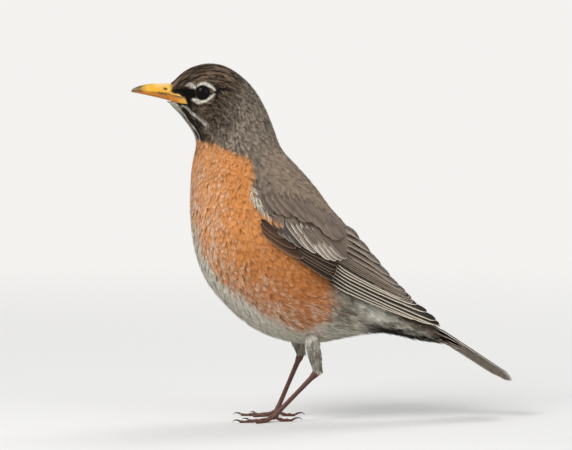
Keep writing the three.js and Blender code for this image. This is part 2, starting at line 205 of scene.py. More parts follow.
def nodePoints(name):
    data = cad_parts[name].data
    flat = np.zeros(len(data.vertices) * 3, np.float32)
    data.vertices.foreach_get("co", flat)
    return fromScene(flat.reshape(-1, 3))


def nodeTree(names):
    points, faces = [], []
    for name in names:
        base = len(points)
        points += nodePoints(name).tolist()
        faces += [[base + i for i in p.vertices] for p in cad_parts[name].data.polygons]
    return BVHTree.FromPolygons(points, faces)


# the outer surface, read from the solids by rays round a line of sections

bodyGuide = {
    # each section's back and belly points in side view, from the bill to the tail
    "back": [(20.2, 175.6), (33.6, 185.9), (57.4, 180.8), (74.6, 153.8),
             (92.2, 127.8), (112.4, 99.4), (133.0, 71.4), (164.2, 46.4)],
    "belly": [(19.2, 167.2), (28.3, 156.7), (34.0, 144.9), (31.2, 127.4),
              (33.4, 88.0), (62.7, 49.6), (105.1, 41.2), (162.2, 39.0)],
    "rows": 240,
    "around": 144,
    "reach": 60.0,          # how far out the rays start
    "taperFrom": 0.94,      # the share of the way where the girth starts to draw in onto the tail
    "taper": 0.28,
}


def sections(guide):
    fine = np.linspace(0, 1, 800)
    middle = (through(guide["back"], fine) + through(guide["belly"], fine)) / 2
    length = np.concatenate([[0], np.cumsum(np.linalg.norm(np.diff(middle, axis=0), axis=1))])
    share = np.interp(np.linspace(0, length[-1], guide["rows"]), length, fine)
    back, belly = through(guide["back"], share), through(guide["belly"], share)
    return (back + belly) / 2, unit(back - belly)


def surfaceFrom(points, out):
    # a grid of places with its outward normals and its steps along the rows and round the ring
    rows, ring = np.gradient(points, axis=0), (np.roll(points, -1, 1) - np.roll(points, 1, 1)) / 2
    normals = unit(np.cross(ring, rows))
    normals *= np.sign(np.sum(normals * out, -1, keepdims=True))
    return {"points": points, "normals": normals, "rows": rows, "ring": ring}


def castSurface(centre, up, side, around, reach, tree, passes, taper=1.0):
    # rays towards each section's centre; the turn is 0 at up, then towards side
    rows = len(centre)
    turn = np.linspace(0, 2 * math.pi, around, endpoint=False)[None, :, None]
    centre = centre[:, None]
    out = up[:, None] * np.cos(turn) + side[:, None] * np.sin(turn)
    radius = np.full((rows, around), np.nan)
    for i in range(rows):
        for j in range(around):
            start = centre[i, 0] + out[i, j] * reach
            hit = tree.ray_cast(Vector(start), Vector(-out[i, j]), reach)
            if hit[0] is not None:
                radius[i, j] = reach - hit[3]
    for i in [*range(1, rows), *range(rows - 2, -1, -1)]:
        missed = np.isnan(radius[i])
        known = i - 1 if i and not np.isnan(radius[i - 1, 0]) else i + 1
        radius[i, missed] = radius[known][missed]
    # the slits between the solids are closed, then the surface is smoothed
    wide = np.maximum(radius, np.maximum(np.roll(radius, 1, 0), np.roll(radius, -1, 0)))
    closed = np.minimum(wide, np.minimum(np.roll(wide, 1, 0), np.roll(wide, -1, 0)))
    closed[[0, -1]] = radius[[0, -1]]
    for _ in range(passes):
        ends = np.concatenate([closed[:1], closed[:-1]]) + np.concatenate([closed[1:], closed[-1:]])
        closed = (np.roll(closed, 1, 1) + np.roll(closed, -1, 1) + ends) / 4
    return surfaceFrom(centre + out * (closed * taper)[..., None], out)


def read(field, s, t):
    # the field of a surface at row s and column t, which needn't be whole
    rows, around = field.shape[:2]
    i = np.clip(np.floor(s).astype(int), 0, rows - 2)
    f = np.clip(s - i, -12, 12)[..., None]
    j = np.floor(t).astype(int)
    g = (t - j)[..., None]
    j, k = j % around, (j + 1) % around
    near = field[i, j] * (1 - f) + field[i + 1, j] * f
    return near * (1 - g) + (field[i, k] * (1 - f) + field[i + 1, k] * f) * g


def castBody(guide, tree, passes):
    centre, up = (np.insert(rows, 1, 0.0, axis=1) for rows in sections(guide))
    side = np.broadcast_to([0.0, 1.0, 0.0], centre.shape)
    share = np.linspace(0, 1, len(centre))
    nearTail = np.clip((share - guide["taperFrom"]) / (1 - guide["taperFrom"]), 0, 1)[:, None]
    taper = 1 - guide["taper"] * nearTail ** 2
    return castSurface(centre, up, side, guide["around"], guide["reach"], tree, passes, taper)


fleshNodes = nodesLike("head", "neck", "trunk", "rump")
fleshTree = nodeTree(fleshNodes)
body = castBody(bodyGuide, fleshTree, 3)
wingTrees = {"left": nodeTree(nodesLike("wing_left")), "right": nodeTree(nodesLike("wing_right"))}
dressed = castBody(bodyGuide, nodeTree(fleshNodes + nodesLike("wing")), 5)
say("outer surface")


# the markings, the same for skin and coat

shades = {
    # the head, the neck and the back
    "cap": (28, 19, 14), "capEdge": (154, 130, 107),
    "cheek": (38, 29, 23), "cheekEdge": (140, 121, 102),
    "nape": (154, 138, 121), "napeEdge": (204, 188, 169),
    "lores": (14, 10, 8), "arc": (240, 234, 220),
    "throat": (222, 216, 202), "streak": (42, 33, 27),
    "mantle": (144, 127, 112), "mantleEdge": (172, 154, 138), "back": (170, 149, 127),
    "rump": (98, 86, 74), "rumpEdge": (132, 118, 105),
    # the breast and the underside, with a darker orange and a dark brown that also serve as painted shade
    "breast": (240, 160, 88), "flank": (204, 126, 68), "fold": (186, 112, 56),
    "fleck": (255, 236, 210), "flankFleck": (252, 230, 204),
    "belly": (234, 228, 212), "vent": (238, 231, 213), "down": (255, 250, 236),
    "grey": (148, 136, 118), "shadowed": (64, 52, 41),
    "thigh": (118, 108, 95), "thighEdge": (204, 198, 184),
}
shade = {name: linear(*value) for name, value in shades.items()}

borders = {
    # where the colours meet in side view: [behind the bill tip, above the floor]
    "throatEnd": [(20, 151.0), (33, 147.4), (37.0, 145.6), (45.0, 144.2), (48.2, 141.8), (53.1, 140.4),
                  (57.9, 138.4), (62.7, 136.4), (70, 133)],
    "shoulder": [(60.5, 141.0), (63.6, 133.9), (64.8, 126.0), (63.8, 120.8), (66.0, 112.9), (69.6, 107.1),
                 (86.0, 96.0), (106.0, 73.0), (107.0, 63.0), (105.6, 56.0), (103.0, 50.0), (98.0, 44.0),
                 (92.0, 39.0)],
    "white": [(30.6, 112.0), (32.6, 107.6), (34.4, 97.1), (36.4, 86.6), (44.4, 76.1), (54.7, 65.6),
              (65.4, 57.8), (72.3, 54.0), (80.0, 49.4), (86.2, 46.6), (92.2, 46.4), (98.0, 48.0),
              (104.0, 52.0)],
}
lines = {
    # lines and spots in side view: [behind the bill tip, above the floor, half width]
    "upperArc": [(35.0, 175.1, 0.5), (37.0, 176.1, 0.85), (39.2, 176.2, 0.95),
                 (41.9, 175.0, 0.85), (43.4, 173.7, 0.6), (44.3, 172.6, 0.3)],
    "lowerArc": [(32.8, 167.8, 0.8), (35.4, 166.7, 1.3), (39.2, 167.3, 1.0),
                 (42.3, 169.2, 0.7), (43.8, 170.6, 0.35)],
    "loralSpot": [(29.2, 175.4, 0.6), (31.2, 175.8, 1.1), (33.2, 174.9, 0.9)],
    "lores": [(22.6, 173.0, 0.4), (25.6, 172.5, 1.2), (28.8, 171.9, 2.2), (32.8, 171.0, 2.4)],
    "gape": [(29.6, 169.8, 1.3), (31.2, 167.0, 0.9), (31.2, 164.2, 0.6)],
    "eyeStreak": [(44.8, 172.6, 0.9), (48.0, 173.1, 0.9), (51.2, 172.6, 0.4)],
    "brow": [(34.6, 178.0, 0.35), (40.0, 178.6, 0.4), (45.5, 176.6, 0.45), (49.5, 175.0, 0.4)],
    "earEdge": [(45.0, 154.2, 0.3), (51.1, 153.9, 0.4), (55.1, 158.6, 0.4), (56.7, 161.6, 0.25)],
    "malar": [(27.2, 164.8, 0.35), (30.6, 162.2, 0.55), (33.6, 159.4, 0.8),
              (37.5, 156.3, 0.8), (42.4, 153.8, 0.3)],
    "throat": [(21.5, 166.0, 5.2), (27.2, 159.6, 5.6), (31.4, 152.4, 5.4), (33.2, 145.0, 5.4)],
    "neckTicks": [(38.6, 154.2, 0.5), (40.6, 150.6, 0.8), (43.2, 147.0, 0.7), (45.8, 145.2, 0.4)],
    # where the folded wing meets the breast: painted shade in the gap, a rusty tint and white tufts; then a
    # painted shadow along the wing's lower edge
    "shoulderGap": [(63.9, 124.8, 0.6), (66.4, 123.4, 0.8), (68.4, 122.6, 0.4)],
    "rustySpot": [(69.8, 107.6, 0.7), (72.4, 105.8, 0.7)],
    "tufts": [(62.6, 122.6, 0.9), (64.6, 118.0, 1.2), (67.6, 113.6, 1.2), (70.6, 110.6, 0.8)],
    "underWing": [(108.0, 68.6, 0.8), (118.0, 64.2, 0.9), (128.0, 60.0, 0.8), (136.0, 56.6, 0.5)],
}
face = {
    "eye": (38.1, 171.8), "lids": (3.9, 4.7),        # where the eye sits, and where its black lids fade out
    "crownTurn": (44, 150),                          # what the head's feathers lie round
    "chin": (19.3, 167.6),                           # where the throat starts, under the bill
    "throatWay": (0.563, -0.827), "throatHalf": 9.0, "throatStreaks": 17,
}


lean = {"ahead": 0.14, "above": 0.06}     # the side view is taken a little from the front and from above


def sideView(p):
    # the place as seen from the side, the same for both sides
    out = np.abs(p[..., 1])
    return p[..., 0] + lean["ahead"] * out, p[..., 2] - lean["above"] * out


def xAt(border, z):
    rows = np.array(borders[border])[::-1]
    return np.interp(z, rows[:, 1], rows[:, 0])


def zAt(border, x):
    rows = np.array(borders[border])
    return np.interp(x, rows[:, 0], rows[:, 1])


def stroke(x, z, name, soft):
    # 1 within one of the lines, fading to 0 outside it
    rows = np.array(lines[name], float)
    least = np.full(np.shape(x), 1e9)
    for start, step in zip(rows[:-1], np.diff(rows, axis=0)):
        alongX, alongZ = x - start[0], z - start[1]
        share = np.clip((alongX * step[0] + alongZ * step[1]) / (step[0] ** 2 + step[1] ** 2), 0, 1)
        away = np.hypot(alongX - share * step[0], alongZ - share * step[1])
        least = np.minimum(least, away / (start[2] + share * step[2]))
    return 1 - fade(least, 1 - soft, 1 + soft)


def blend(a, b, amount):
    return a + (b - a) * np.asarray(amount)[..., None]


def tint(pair, colour, amount):
    # one colour laid over a feather's vane and over its tip
    return [blend(under, colour, amount) for under in pair]


def bareHorn(x, z, soft):
    # 1 on the bare wedge of horn that runs back from the bill to the gape
    gape = 29.6
    upper = np.interp(x, [19.0, 20.2, 25.1, 28.3, gape], [172.4, 171.9, 170.7, 168.3, 165.8])
    lower = np.interp(x, [19.0, 20.2, 25.1, gape], [167.4, 167.1, 166.1, 165.7])
    inside = fade(upper - z, -soft, soft) * fade(z - lower, -soft, soft)
    return inside * (1 - fade(x, gape - soft, gape + soft))


def swirl(p, x, z, size, seed, lengthwise=8.0, outwards=1.0):
    # noise drawn out along the lie of the head's feathers, which runs over the crown and down the nape
    dx, dz = x - face["crownTurn"][0], z - face["crownTurn"][1]
    r, turn = np.hypot(dx, dz), np.arctan2(dz, dx)
    return speckle(np.stack([outwards * r, lengthwise * turn, p[..., 1]], -1), size, seed)


def drawnOut(p, x, z, size, seed):
    # noise in streaks that run down towards the tail
    return speckle(np.stack([(0.83 * x - 0.55 * z) / 6, 0.55 * x + 0.83 * z, p[..., 1]], -1), size, seed)


def headMarkings(p, x, z, pair, tipped, belowThroat):
    # the throat: a white chin, dark streaks down its sides, a white line from the gape
    dx, dz = x - face["chin"][0], z - face["chin"][1]
    wayX, wayZ = face["throatWay"]
    along, depth = dx * wayX + dz * wayZ, dz * wayX - dx * wayZ
    turn = np.degrees(np.arctan2(np.abs(p[..., 1]), face["throatHalf"] - depth))
    jitter = speckle(p * [1, 1, 0.35], 2.2, 9)
    wave = np.cos(np.radians((turn + 9 * jitter) * face["throatStreaks"]))
    wave = wave + 0.5 * speckle(p * [1, 1, 0.3], 0.9, 10)
    needed = -0.75 + 2.0 * fade(turn, 22, 64) - 1.2 * (1 - fade(along, 5, 12)) * (1 - fade(turn, 36, 48))
    pale = fade(wave, needed - 0.25, needed + 0.35)
    throat = stroke(x, z, "throat", 0.16) * fade(-belowThroat, -0.6, 0.6)
    pair = tint(pair, blend(shade["streak"], shade["throat"], pale), throat)
    frayed = 0.8 * speckle(np.stack([x + z, 0.3 * (x - z), p[..., 1]], -1), 0.8, 12)
    malar = stroke(x + frayed, z + frayed, "malar", 0.4) * (0.85 + 0.35 * jitter)
    malar = np.maximum(malar, 0.6 * stroke(x, z, "neckTicks", 0.6) * fade(frayed, 0.05, 0.3))
    pair = tint(pair, shade["throat"], np.clip(malar, 0, 1))

    # faint lines in the brown: over the eye, and dark round the ear's hind edge
    pair = tint(pair, shade["cheekEdge"], stroke(x, z, "brow", 0.5) * 0.5)
    pair = tint(pair, shade["lores"], stroke(x, z, "earEdge", 0.5) * 0.55)

    # black lores and lids, a streak behind the eye, a pale spot before it and the two white arcs
    lids = 1 - fade(np.hypot(x - face["eye"][0], z - face["eye"][1]), *face["lids"])
    black = np.maximum.reduce([lids, stroke(x, z, "lores", 0.22), stroke(x, z, "gape", 0.3),
                               stroke(x, z, "eyeStreak", 0.4)])
    pair = [blend(pair[0], shade["lores"], black), blend(pair[1], shade["lores"], black * 0.95)]
    spot = stroke(x, z, "loralSpot", 0.5) * fade(speckle(p * [1, 1, 0.5], 0.9, 13), -0.6, 0.0)
    arcs = np.maximum(stroke(x, z, "upperArc", 0.22), stroke(x, z, "lowerArc", 0.22))
    pair = tint(pair, shade["arc"], np.clip(np.maximum(spot, arcs), 0, 1))
    return *pair, tipped * (1 - np.maximum.reduce([black, arcs, 0.7 * throat]))


def markings(p):
    # the colour of a feather's vane, the colour of its tip, and how much of the tip shows it
    x, z = sideView(p)
    wander = speckle(p, 4.0) * 1.3 + speckle(p, 1.6, 3) * 0.7
    dark = 1 - fade((x - 52) / 10 + (156 - z) / 22 + wander * 0.12, -0.9, 0.75)
    cap = fade(z, 168, 178)
    base = blend(shade["nape"], blend(shade["cheek"], shade["cap"], cap), dark)
    tip = blend(shade["napeEdge"], blend(shade["cheekEdge"], shade["capEdge"], cap), dark)
    tipped = 0.55 + 0.15 * dark
    paleLines = fade(swirl(p, x, z, 0.8, 15, 5.0) + 0.25 * swirl(p, x, z, 2.2, 16), 0.02, 0.3)
    base = blend(base, tip, paleLines * (0.36 + 0.5 * dark))
    # painted shade: dark wavy lines between the rows of feathers, wherever the head isn't dark
    shadowRows = fade(swirl(p, x, z, 1.1, 18, 20.0, 0.4), -0.1, 0.35)
    base = base * (1 - 0.55 * shadowRows * (1 - dark))[..., None]
    mantle = fade(x + (140 - z) * 0.4, 66, 82)
    streaks = drawnOut(p, x, z, 1.6, 17)
    back = blend(shade["mantle"], shade["back"], fade((x - 72) * 0.7 + (z - 141) * 0.71, -15, -4))
    back = back * (1 + 0.16 * streaks)[..., None]
    base, tip = blend(base, back, mantle), blend(tip, shade["mantleEdge"], mantle)
    rump = fade(x, 112, 124)
    base, tip = blend(base, shade["rump"], rump), blend(tip, shade["rumpEdge"], rump)

    # the rufous breast, its pale flecks and the white below it: how far each place lies from their edges
    fromShoulder = xAt("shoulder", z) - x + wander * 0.8
    belowThroat = zAt("throatEnd", x) - z + wander * 0.5
    fromFront = x - xAt("white", np.maximum(z, 60)) + 2.6 * speckle(p * [1, 1, 0.15], 1.0, 20)
    fromUnder = z - zAt("white", x) + wander * 1.2 + 2.2 * speckle(p * [1, 1, 0.22], 1.4, 19)
    fromWhite = np.where(z > 86, fromFront, fromUnder)
    rufous = fade(fromShoulder, -0.7, 0.7) * fade(belowThroat, -0.8, 0.8)
    deep = 1 - fade(z, 56, 104)
    # painted shade: a darker orange in slanting folds between the rows of the breast's feathers
    slanting = np.stack([x - 0.7 * z, 0.25 * (x + 0.7 * z), p[..., 1] * 0.5], -1)
    foldShadows = fade(speckle(slanting, 1.3, 23), 0.1, 0.55) * 0.55 * fade(z, 50, 70)
    orange = blend(blend(shade["breast"], shade["flank"], deep), shade["fold"], foldShadows)
    base = blend(base, orange, rufous)
    tip = blend(tip, blend(shade["fleck"], shade["flankFleck"], deep), rufous)
    near = 1 - fade(fromWhite, 4, 26)
    spots = fade(speckle(p * [1, 1, 0.8], 1.5, 29), 0.15, 0.4) * (1 - fade(fromWhite, 3, 15))
    base = blend(base, shade["belly"], 0.7 * spots * fade(140 - z, 0, 20) * rufous)
    collar = (1 - fade(belowThroat, 1, 16)) * (1 - fade(x, 38, 56))
    tipped = tipped * (1 - rufous) + rufous * (0.16 + 1.4 * near * fade(146 - z, 0, 30) + 0.45 * collar)
    tipped = tipped * (1 - 0.6 * rufous * fade(x, 70, 92) * deep)
    raggedTop = 1 - fade(z + 12 * speckle(p * [1, 1, 0.2], 1.2, 25), 94, 114)
    white = (1 - fade(fromWhite, -1.5, 1.5)) * raggedTop * (1 - rump)
    base, tip = tint((base, tip), shade["belly"], white)

    # the loose grey flank, the white vent and the blotched undertail
    tailCoverts = fade(z - 53 + 0.49 * (x - 142), -1.5, 1.0) * fade(x, 133, 141)
    behind = fade(-fromShoulder, -0.5, 2.0) * (1 - fade(z, 66, 76)) * fade(z - 41, 0, 5)
    behind = behind * (1 - tailCoverts) * (1 - fade(x, 146, 156))
    hairs = drawnOut(p, x, z, 0.8, 24)
    loose = blend(shade["grey"], shade["shadowed"], fade(hairs + 0.5 * streaks, 0.1, 0.45) * 0.6)
    pale = fade(-hairs - 0.4 * streaks, 0.05, 0.45) * (0.5 + 0.2 * fade(x, 112, 122))
    loose = blend(loose, shade["vent"], pale)
    # a whiter patch of down below the wing's tips, partly its own colour and partly a painted pool of light
    patch = 1 - fade(np.hypot((x - 129 + z - 59) / 13, (x - 129 - z + 59) / 19), 0.6, 1.15)
    loose = blend(loose, shade["down"], patch * (0.95 - 0.3 * fade(hairs, 0.1, 0.4)))
    # painted shadow: a dark band just under the folded wing's lower edge
    loose = blend(loose, shade["shadowed"], 0.5 * stroke(x, z + 0.5 * wander, "underWing", 1.2))
    base, tip = blend(base, loose, behind), blend(tip, blend(shade["vent"], loose, 0.4), behind)
    low = np.interp(x, [96, 112, 128, 140, 158, 166, 172], [50, 49, 51, 53, 44, 38, 33]) + wander
    vent = fade(low - z, -1, 2.5) * fade(x, 96, 108) * (1 - fade(x, 176, 184))
    # black blotches on the undertail, more of them towards its lower edge: partly its own mottling, partly
    # painted shade under the tail
    edge = z - 47.3 + 0.26 * (x - 129)
    blotch = fade(1.6 * speckle(p * [0.5, 1, 1], 1.9, 5) - (edge - 3.5) / 3.0, -0.3, 0.3) * fade(x, 121, 129)
    belly = blend(shade["belly"], shade["vent"], 0.5) * (1 - 0.35 * fade(hairs, 0, 0.4))[..., None]
    base, tip = tint((base, tip), blend(belly, shade["shadowed"] * 0.35, blotch), vent)
    # painted shade: black in the gap where the folded wing meets the breast
    base, tip = tint((base, tip), shade["lores"], stroke(x, z, "shoulderGap", 0.5))
    base = blend(base, shade["flank"], 0.35 * stroke(x, z, "rustySpot", 0.6))
    return headMarkings(p, x, z, (base, tip), tipped, belowThroat)


# feathers: barbs swept off a shaft, laid on a surface and following its curve

def featherShape(barbs, seed, cuts, aspect=0.2, ragged=0.05, sweep=0.48):
    # one vane as [across, along, rise]: slim blades that leave the shaft and run towards the tip;
    # cuts are the shares of a blade where it has points before its own tip
    draw = np.random.default_rng(seed)
    points, tones, edges, owner, quads, tips = [], [], [], [], [], []
    for side in (-1, 1):
        for i in range(barbs):
            reach = 1 - (i + 0.5) / barbs
            end = np.array([reach, 0.58 + 0.42 * math.sqrt(1 - reach ** 2)])
            end = end + draw.normal(0, ragged, 2) * [0.6, 1.0]
            root = np.array([0.0, max(end[1] - sweep * draw.uniform(0.85, 1.15), 0.0)])
            bow = np.array([0.8 * end[0], root[1] + 0.42 * (end[1] - root[1])])
            half = aspect * 0.66 / barbs
            lift, base = draw.uniform(0.0, 1.0) ** 2, len(points)
            for t in cuts:
                at = (1 - t) ** 2 * root + 2 * t * (1 - t) * bow + t * t * end
                way = unit((2 * (1 - t) * (bow - root) + 2 * t * (end - bow)) * [aspect, 1.0])
                off = np.array([-way[1] / aspect, way[0]]) * half * (1.0 - 0.35 * t * t)
                for hand in (1, -1):
                    q = at + hand * off
                    points.append([side * q[0], q[1], 0.25 * (1 - reach) + lift * t * t])
                tones.extend([0, 0])
                edges.extend([t ** 2.5 * fade(end[1], 0.7, 0.84)] * 2)
            points.append([side * end[0], end[1], 0.25 * (1 - reach) + lift])
            edges.append(fade(end[1], 0.7, 0.84))
            count = 2 * len(cuts) + 1
            tones[base:] = [draw.normal(0, 1)] * count
            owner += [len(tips)] * count
            for k in range(base, base + count - 3, 2):
                quads.append([k, k + 2, k + 3, k + 1][::side])
            tips.append([base + count - 3, base + count - 1, base + count - 2][::side])
    return {"points": np.array(points), "tones": np.array(tones), "edges": np.array(edges, float),
            "barb": np.array(owner), "quads": np.array(quads), "tips": np.array(tips)}


def layFeathers(surface, coat, shapes, draw):
    # coat holds a value for each feather: where it starts on the surface (s, t), its length and half
    # width, how deep it starts, how far its tip and its blades lift, its turn and its bend
    count = len(coat["s"])
    kind = draw.integers(0, len(shapes), count)
    normal = unit(read(surface["normals"], coat["s"], coat["t"]))
    rows, ring = (read(surface[key], coat["s"], coat["t"]) for key in ("rows", "ring"))
    ahead = unit(rows - normal * np.sum(rows * normal, -1, keepdims=True))
    across = np.cross(normal, ahead)
    c, s = np.cos(coat["turn"])[:, None], np.sin(coat["turn"])[:, None]
    ahead, across = ahead * c + across * s, across * c - ahead * s
    e, f, g = (np.sum(a * b, -1) for a, b in ((rows, rows), (rows, ring), (ring, ring)))
    det = np.maximum(e * g - f * f, 1e-6)
    parts = []
    for k, shape in enumerate(shapes):
        own = np.flatnonzero(kind == k)
        if not len(own):
            continue
        u, v, h = shape["points"].T
        length, half = coat["length"][own, None], coat["half"][own, None]
        bend = coat["bend"][own, None] * length * v ** 2
        move = ahead[own, None] * (length * v)[..., None] + across[own, None] * (half * u + bend)[..., None]
        onRows, onRing = np.sum(move * rows[own, None], -1), np.sum(move * ring[own, None], -1)
        ds = (onRows * g[own, None] - onRing * f[own, None]) / det[own, None]
        dt = (onRing * e[own, None] - onRows * f[own, None]) / det[own, None]
        at, aside = coat["s"][own, None] + ds, coat["t"][own, None] + dt
        rise = (-coat["depth"][own, None] * (1 - v) + coat["lift"][own, None] * v ** 3
                + coat["fluff"][own, None] * h * v - 0.16 * half * u ** 2)
        points, normals = (read(surface[key], at, aside) for key in ("points", "normals"))
        parts.append((own, shape, points + unit(normals) * rise[..., None]))
    return parts


def coatMesh(name, surface, coat, shapes, material, draw, paint=markings, bakeAt=None):
    # the feathers of one coat as one mesh, each in the colours that paint gives at its place
    parts = layFeathers(surface, coat, shapes, draw)
    rowsCount, around = surface["points"].shape[:2]
    points, vane, bake, tones, colours, quads, tips = [], [], [], [], [], [], []
    base = 0
    # how pale each feather's tip turns out, and how light the whole of it
    luck = 0.25 + 1.5 * fade(draw.uniform(0, 1, len(coat["s"])), 0.5, 0.9)
    feathersTone = draw.normal(0, 1, len(coat["s"]))
    for own, shape, placed in parts:
        count, n = placed.shape[:2]
        u, v, _ = shape["points"].T
        points.append(placed.reshape(-1, 3))
        offset = base + np.arange(count)[:, None, None] * n
        quads.append((shape["quads"][None] + offset).reshape(-1, 4))
        tips.append((shape["tips"][None] + offset).reshape(-1, 3))
        base += count * n
        vane.append(np.broadcast_to(np.stack([0.5 + 0.5 * u, v], -1), (count, n, 2)).reshape(-1, 2))
        home = np.stack([coat["t"][own] / around, 0.02 + 0.82 * coat["s"][own] / rowsCount], -1)
        if bakeAt is not None:
            home = bakeAt(home)
        patch = np.stack([0.0015 * u, 0.003 * (v - 0.5)], -1)
        bake.append((np.clip(home, 0.003, 0.997)[:, None] + patch[None]).reshape(-1, 2))
        tones.append((0.8 * feathersTone[own, None] + 0.6 * shape["tones"][None]).reshape(-1))
        barb = shape["barb"]
        whole = paint(placed[:, (v > 0.5) & (v < 0.78)].mean(1))
        single = paint(placed[:, shape["tips"][:, 1]])
        main, tip, tipped = (0.35 * a[:, None] + 0.65 * b for a, b in zip(whole, single))
        hairs = draw.uniform(0.25, 1.3, (count, barb.max() + 1))[:, barb]
        edge = shape["edges"] * np.clip(tipped[:, barb] * luck[own, None], 0, 1) * np.minimum(hairs, 1)
        colour = blend(main[:, barb], tip[:, barb], edge)
        hem = 1.5 * coat["spacing"][own, None] / coat["length"][own, None]
        seen = fade(v, 1 - 1.5 * hem, 1 - 0.55 * hem)
        colours.append((colour * (1 - coat["shadow"][own, None] * (1 - seen))[..., None]).reshape(-1, 3))
    thing = addMesh(name, np.concatenate(points), [np.concatenate(quads), np.concatenate(tips)],
                    {"OFBake": np.concatenate(bake), "vane": np.concatenate(vane)},
                    {"tone": np.concatenate(tones)}, np.concatenate(colours), material)
    return thing


def scatter(surface, coat, draw, first=0.0, last=1.0):
    # roots in staggered rings from bill to tail, each ring's count set by its girth
    total, around = surface["points"].shape[:2]
    rowLength = np.linalg.norm(surface["rows"], axis=-1).mean(1)
    s, found = first * (total - 1), []
    odd = False
    while s < last * (total - 1):
        share = s / (total - 1)
        gap = np.interp(share, coat["share"], coat["spacing"])
        ring = read(surface["ring"], np.full(around, s), np.arange(around * 1.0))
        girth = np.linalg.norm(ring, axis=-1)
        walk = np.concatenate([[0], np.cumsum(girth)])
        count = max(6, int(round(walk[-1] / gap)))
        stops = (np.arange(count) + (0.5 if odd else 0.0)) / count * walk[-1]
        t = np.interp(stops, walk, np.arange(around + 1.0))
        push = draw.uniform(-1, 1, (2, count)) * np.interp(share, coat["share"], coat["loose"])
        local = gap / np.interp(s, np.arange(total), rowLength)
        aside = (t + push[1] * gap / girth[t.astype(int) % around]) % around
        found.append(np.stack([s + push[0] * local, aside], -1))
        s += 0.86 * local
        odd = not odd
    s, t = np.concatenate(found).T
    return np.clip(s, 0, total - 1.001), t


def coatOf(surface, s, t, coat, draw):
    share = s / (len(surface["points"]) - 1)
    grow = draw.normal(1, 0.09, len(s))
    row = {key: np.interp(share, coat["share"], coat[key]) for key in
           ("length", "half", "depth", "lift", "fluff", "spacing", "shadow")}
    for key in ("length", "half", "depth", "lift", "fluff"):
        row[key] = row[key] * grow
    row.update(s=s, t=t, turn=draw.normal(0, coat["stray"], len(s)), bend=draw.normal(0, 0.05, len(s)))
    return row


def pick(coat, keep):
    return {key: value[keep] for key, value in coat.items()}


coatSettings = {
    # from the bill to the tail, as shares of the way; shadow is how dark the vane is just under the
    # next feather, loose how far the roots stray from their ring and stray how far feathers turn
    "share":   [0.00, 0.03, 0.08, 0.16, 0.25, 0.40, 0.60, 0.80, 1.00],
    "spacing": [0.38, 0.44, 0.58, 0.84, 1.35, 1.80, 2.10, 2.30, 2.20],
    "length":  [1.5, 2.1, 3.1, 4.7, 7.0, 9.0, 10.5, 13.0, 13.0],
    "half":    [0.22, 0.27, 0.38, 0.62, 1.10, 1.60, 2.00, 2.50, 2.40],
    "depth":   [0.30, 0.42, 0.60, 0.85, 1.20, 1.70, 2.00, 2.00, 1.30],
    "lift":    [0.02, 0.04, 0.08, 0.12, 0.16, 0.18, 0.24, 0.36, 0.25],
    "fluff":   [0.05, 0.08, 0.12, 0.16, 0.20, 0.24, 0.30, 0.45, 0.30],
    "shadow":  [0.10, 0.20, 0.40, 0.60, 0.60, 0.40, 0.35, 0.35, 0.30],
    "loose":   [0.28, 0.28, 0.24, 0.14, 0.14, 0.22, 0.28, 0.30, 0.30],
    "stray": 0.09,
}


# materials

def wire(tree, node, **inputs):
    # sets or links a node's sockets, by name or, as i0 and i1, by number
    for key, value in inputs.items():
        socket = node.inputs[int(key[1:])] if key[0] == "i" and key[1:].isdigit() else node.inputs[key]
        if isinstance(value, bpy.types.NodeSocket):
            tree.links.new(value, socket)
        else:
            socket.default_value = value
    return node


def maths(tree, operation, a, b=0.0, c=0.0):
    node = tree.nodes.new("ShaderNodeMath")
    node.operation = operation
    return wire(tree, node, i0=a, i1=b, i2=c).outputs[0]


def ramp(tree, value, low, high, fromLow=0.0, toHigh=1.0):
    node = tree.nodes.new("ShaderNodeMapRange")
    node.interpolation_type = "SMOOTHSTEP"
    wire(tree, node, i0=value, i1=low, i2=high, i3=fromLow, i4=toHigh)
    return node.outputs[0]


def noise(tree, place, scale, detail=2.0):
    node = tree.nodes.new("ShaderNodeTexNoise")
    wire(tree, node, Vector=place, Scale=scale, Detail=detail)
    return node.outputs["Fac"]


def mix(tree, kind, amount, a, b):
    node = tree.nodes.new("ShaderNodeMix")
    node.data_type, node.blend_type = "RGBA", kind
    wire(tree, node, i0=amount, i6=a, i7=b)
    return node.outputs[2]


def objectPlace(tree):
    return tree.nodes.new("ShaderNodeTexCoord").outputs["Object"]


def attribute(tree, name, output="Fac"):
    node = tree.nodes.new("ShaderNodeAttribute")
    node.attribute_name = name
    return node.outputs[output]


def startGroup(name, inputs, outputs):
    # a node group, its named inputs with their first values, and its named outputs
    group = bpy.data.node_groups.new(name, "ShaderNodeTree")
    for title, value in inputs.items():
        kind = "NodeSocketVector" if isinstance(value, tuple) else "NodeSocketFloat"
        group.interface.new_socket(title, in_out="INPUT", socket_type=kind).default_value = value
    for title in outputs:
        group.interface.new_socket(title, in_out="OUTPUT", socket_type="NodeSocketFloat")
    return group, group.nodes.new("NodeGroupInput"), group.nodes.new("NodeGroupOutput")


def addGroup(tree, group, **inputs):
    node = tree.nodes.new("ShaderNodeGroup")
    node.node_tree = group
    return wire(tree, node, **inputs)


def startMaterial(name):
    material = bpy.data.materials.new(name)
    material.use_nodes = True
    return material, material.node_tree, material.node_tree.nodes["Principled BSDF"]


def bumpOf(tree, height, strength, distance):
    node = tree.nodes.new("ShaderNodeBump")
    return wire(tree, node, Strength=strength, Distance=distance, Height=height).outputs[0]


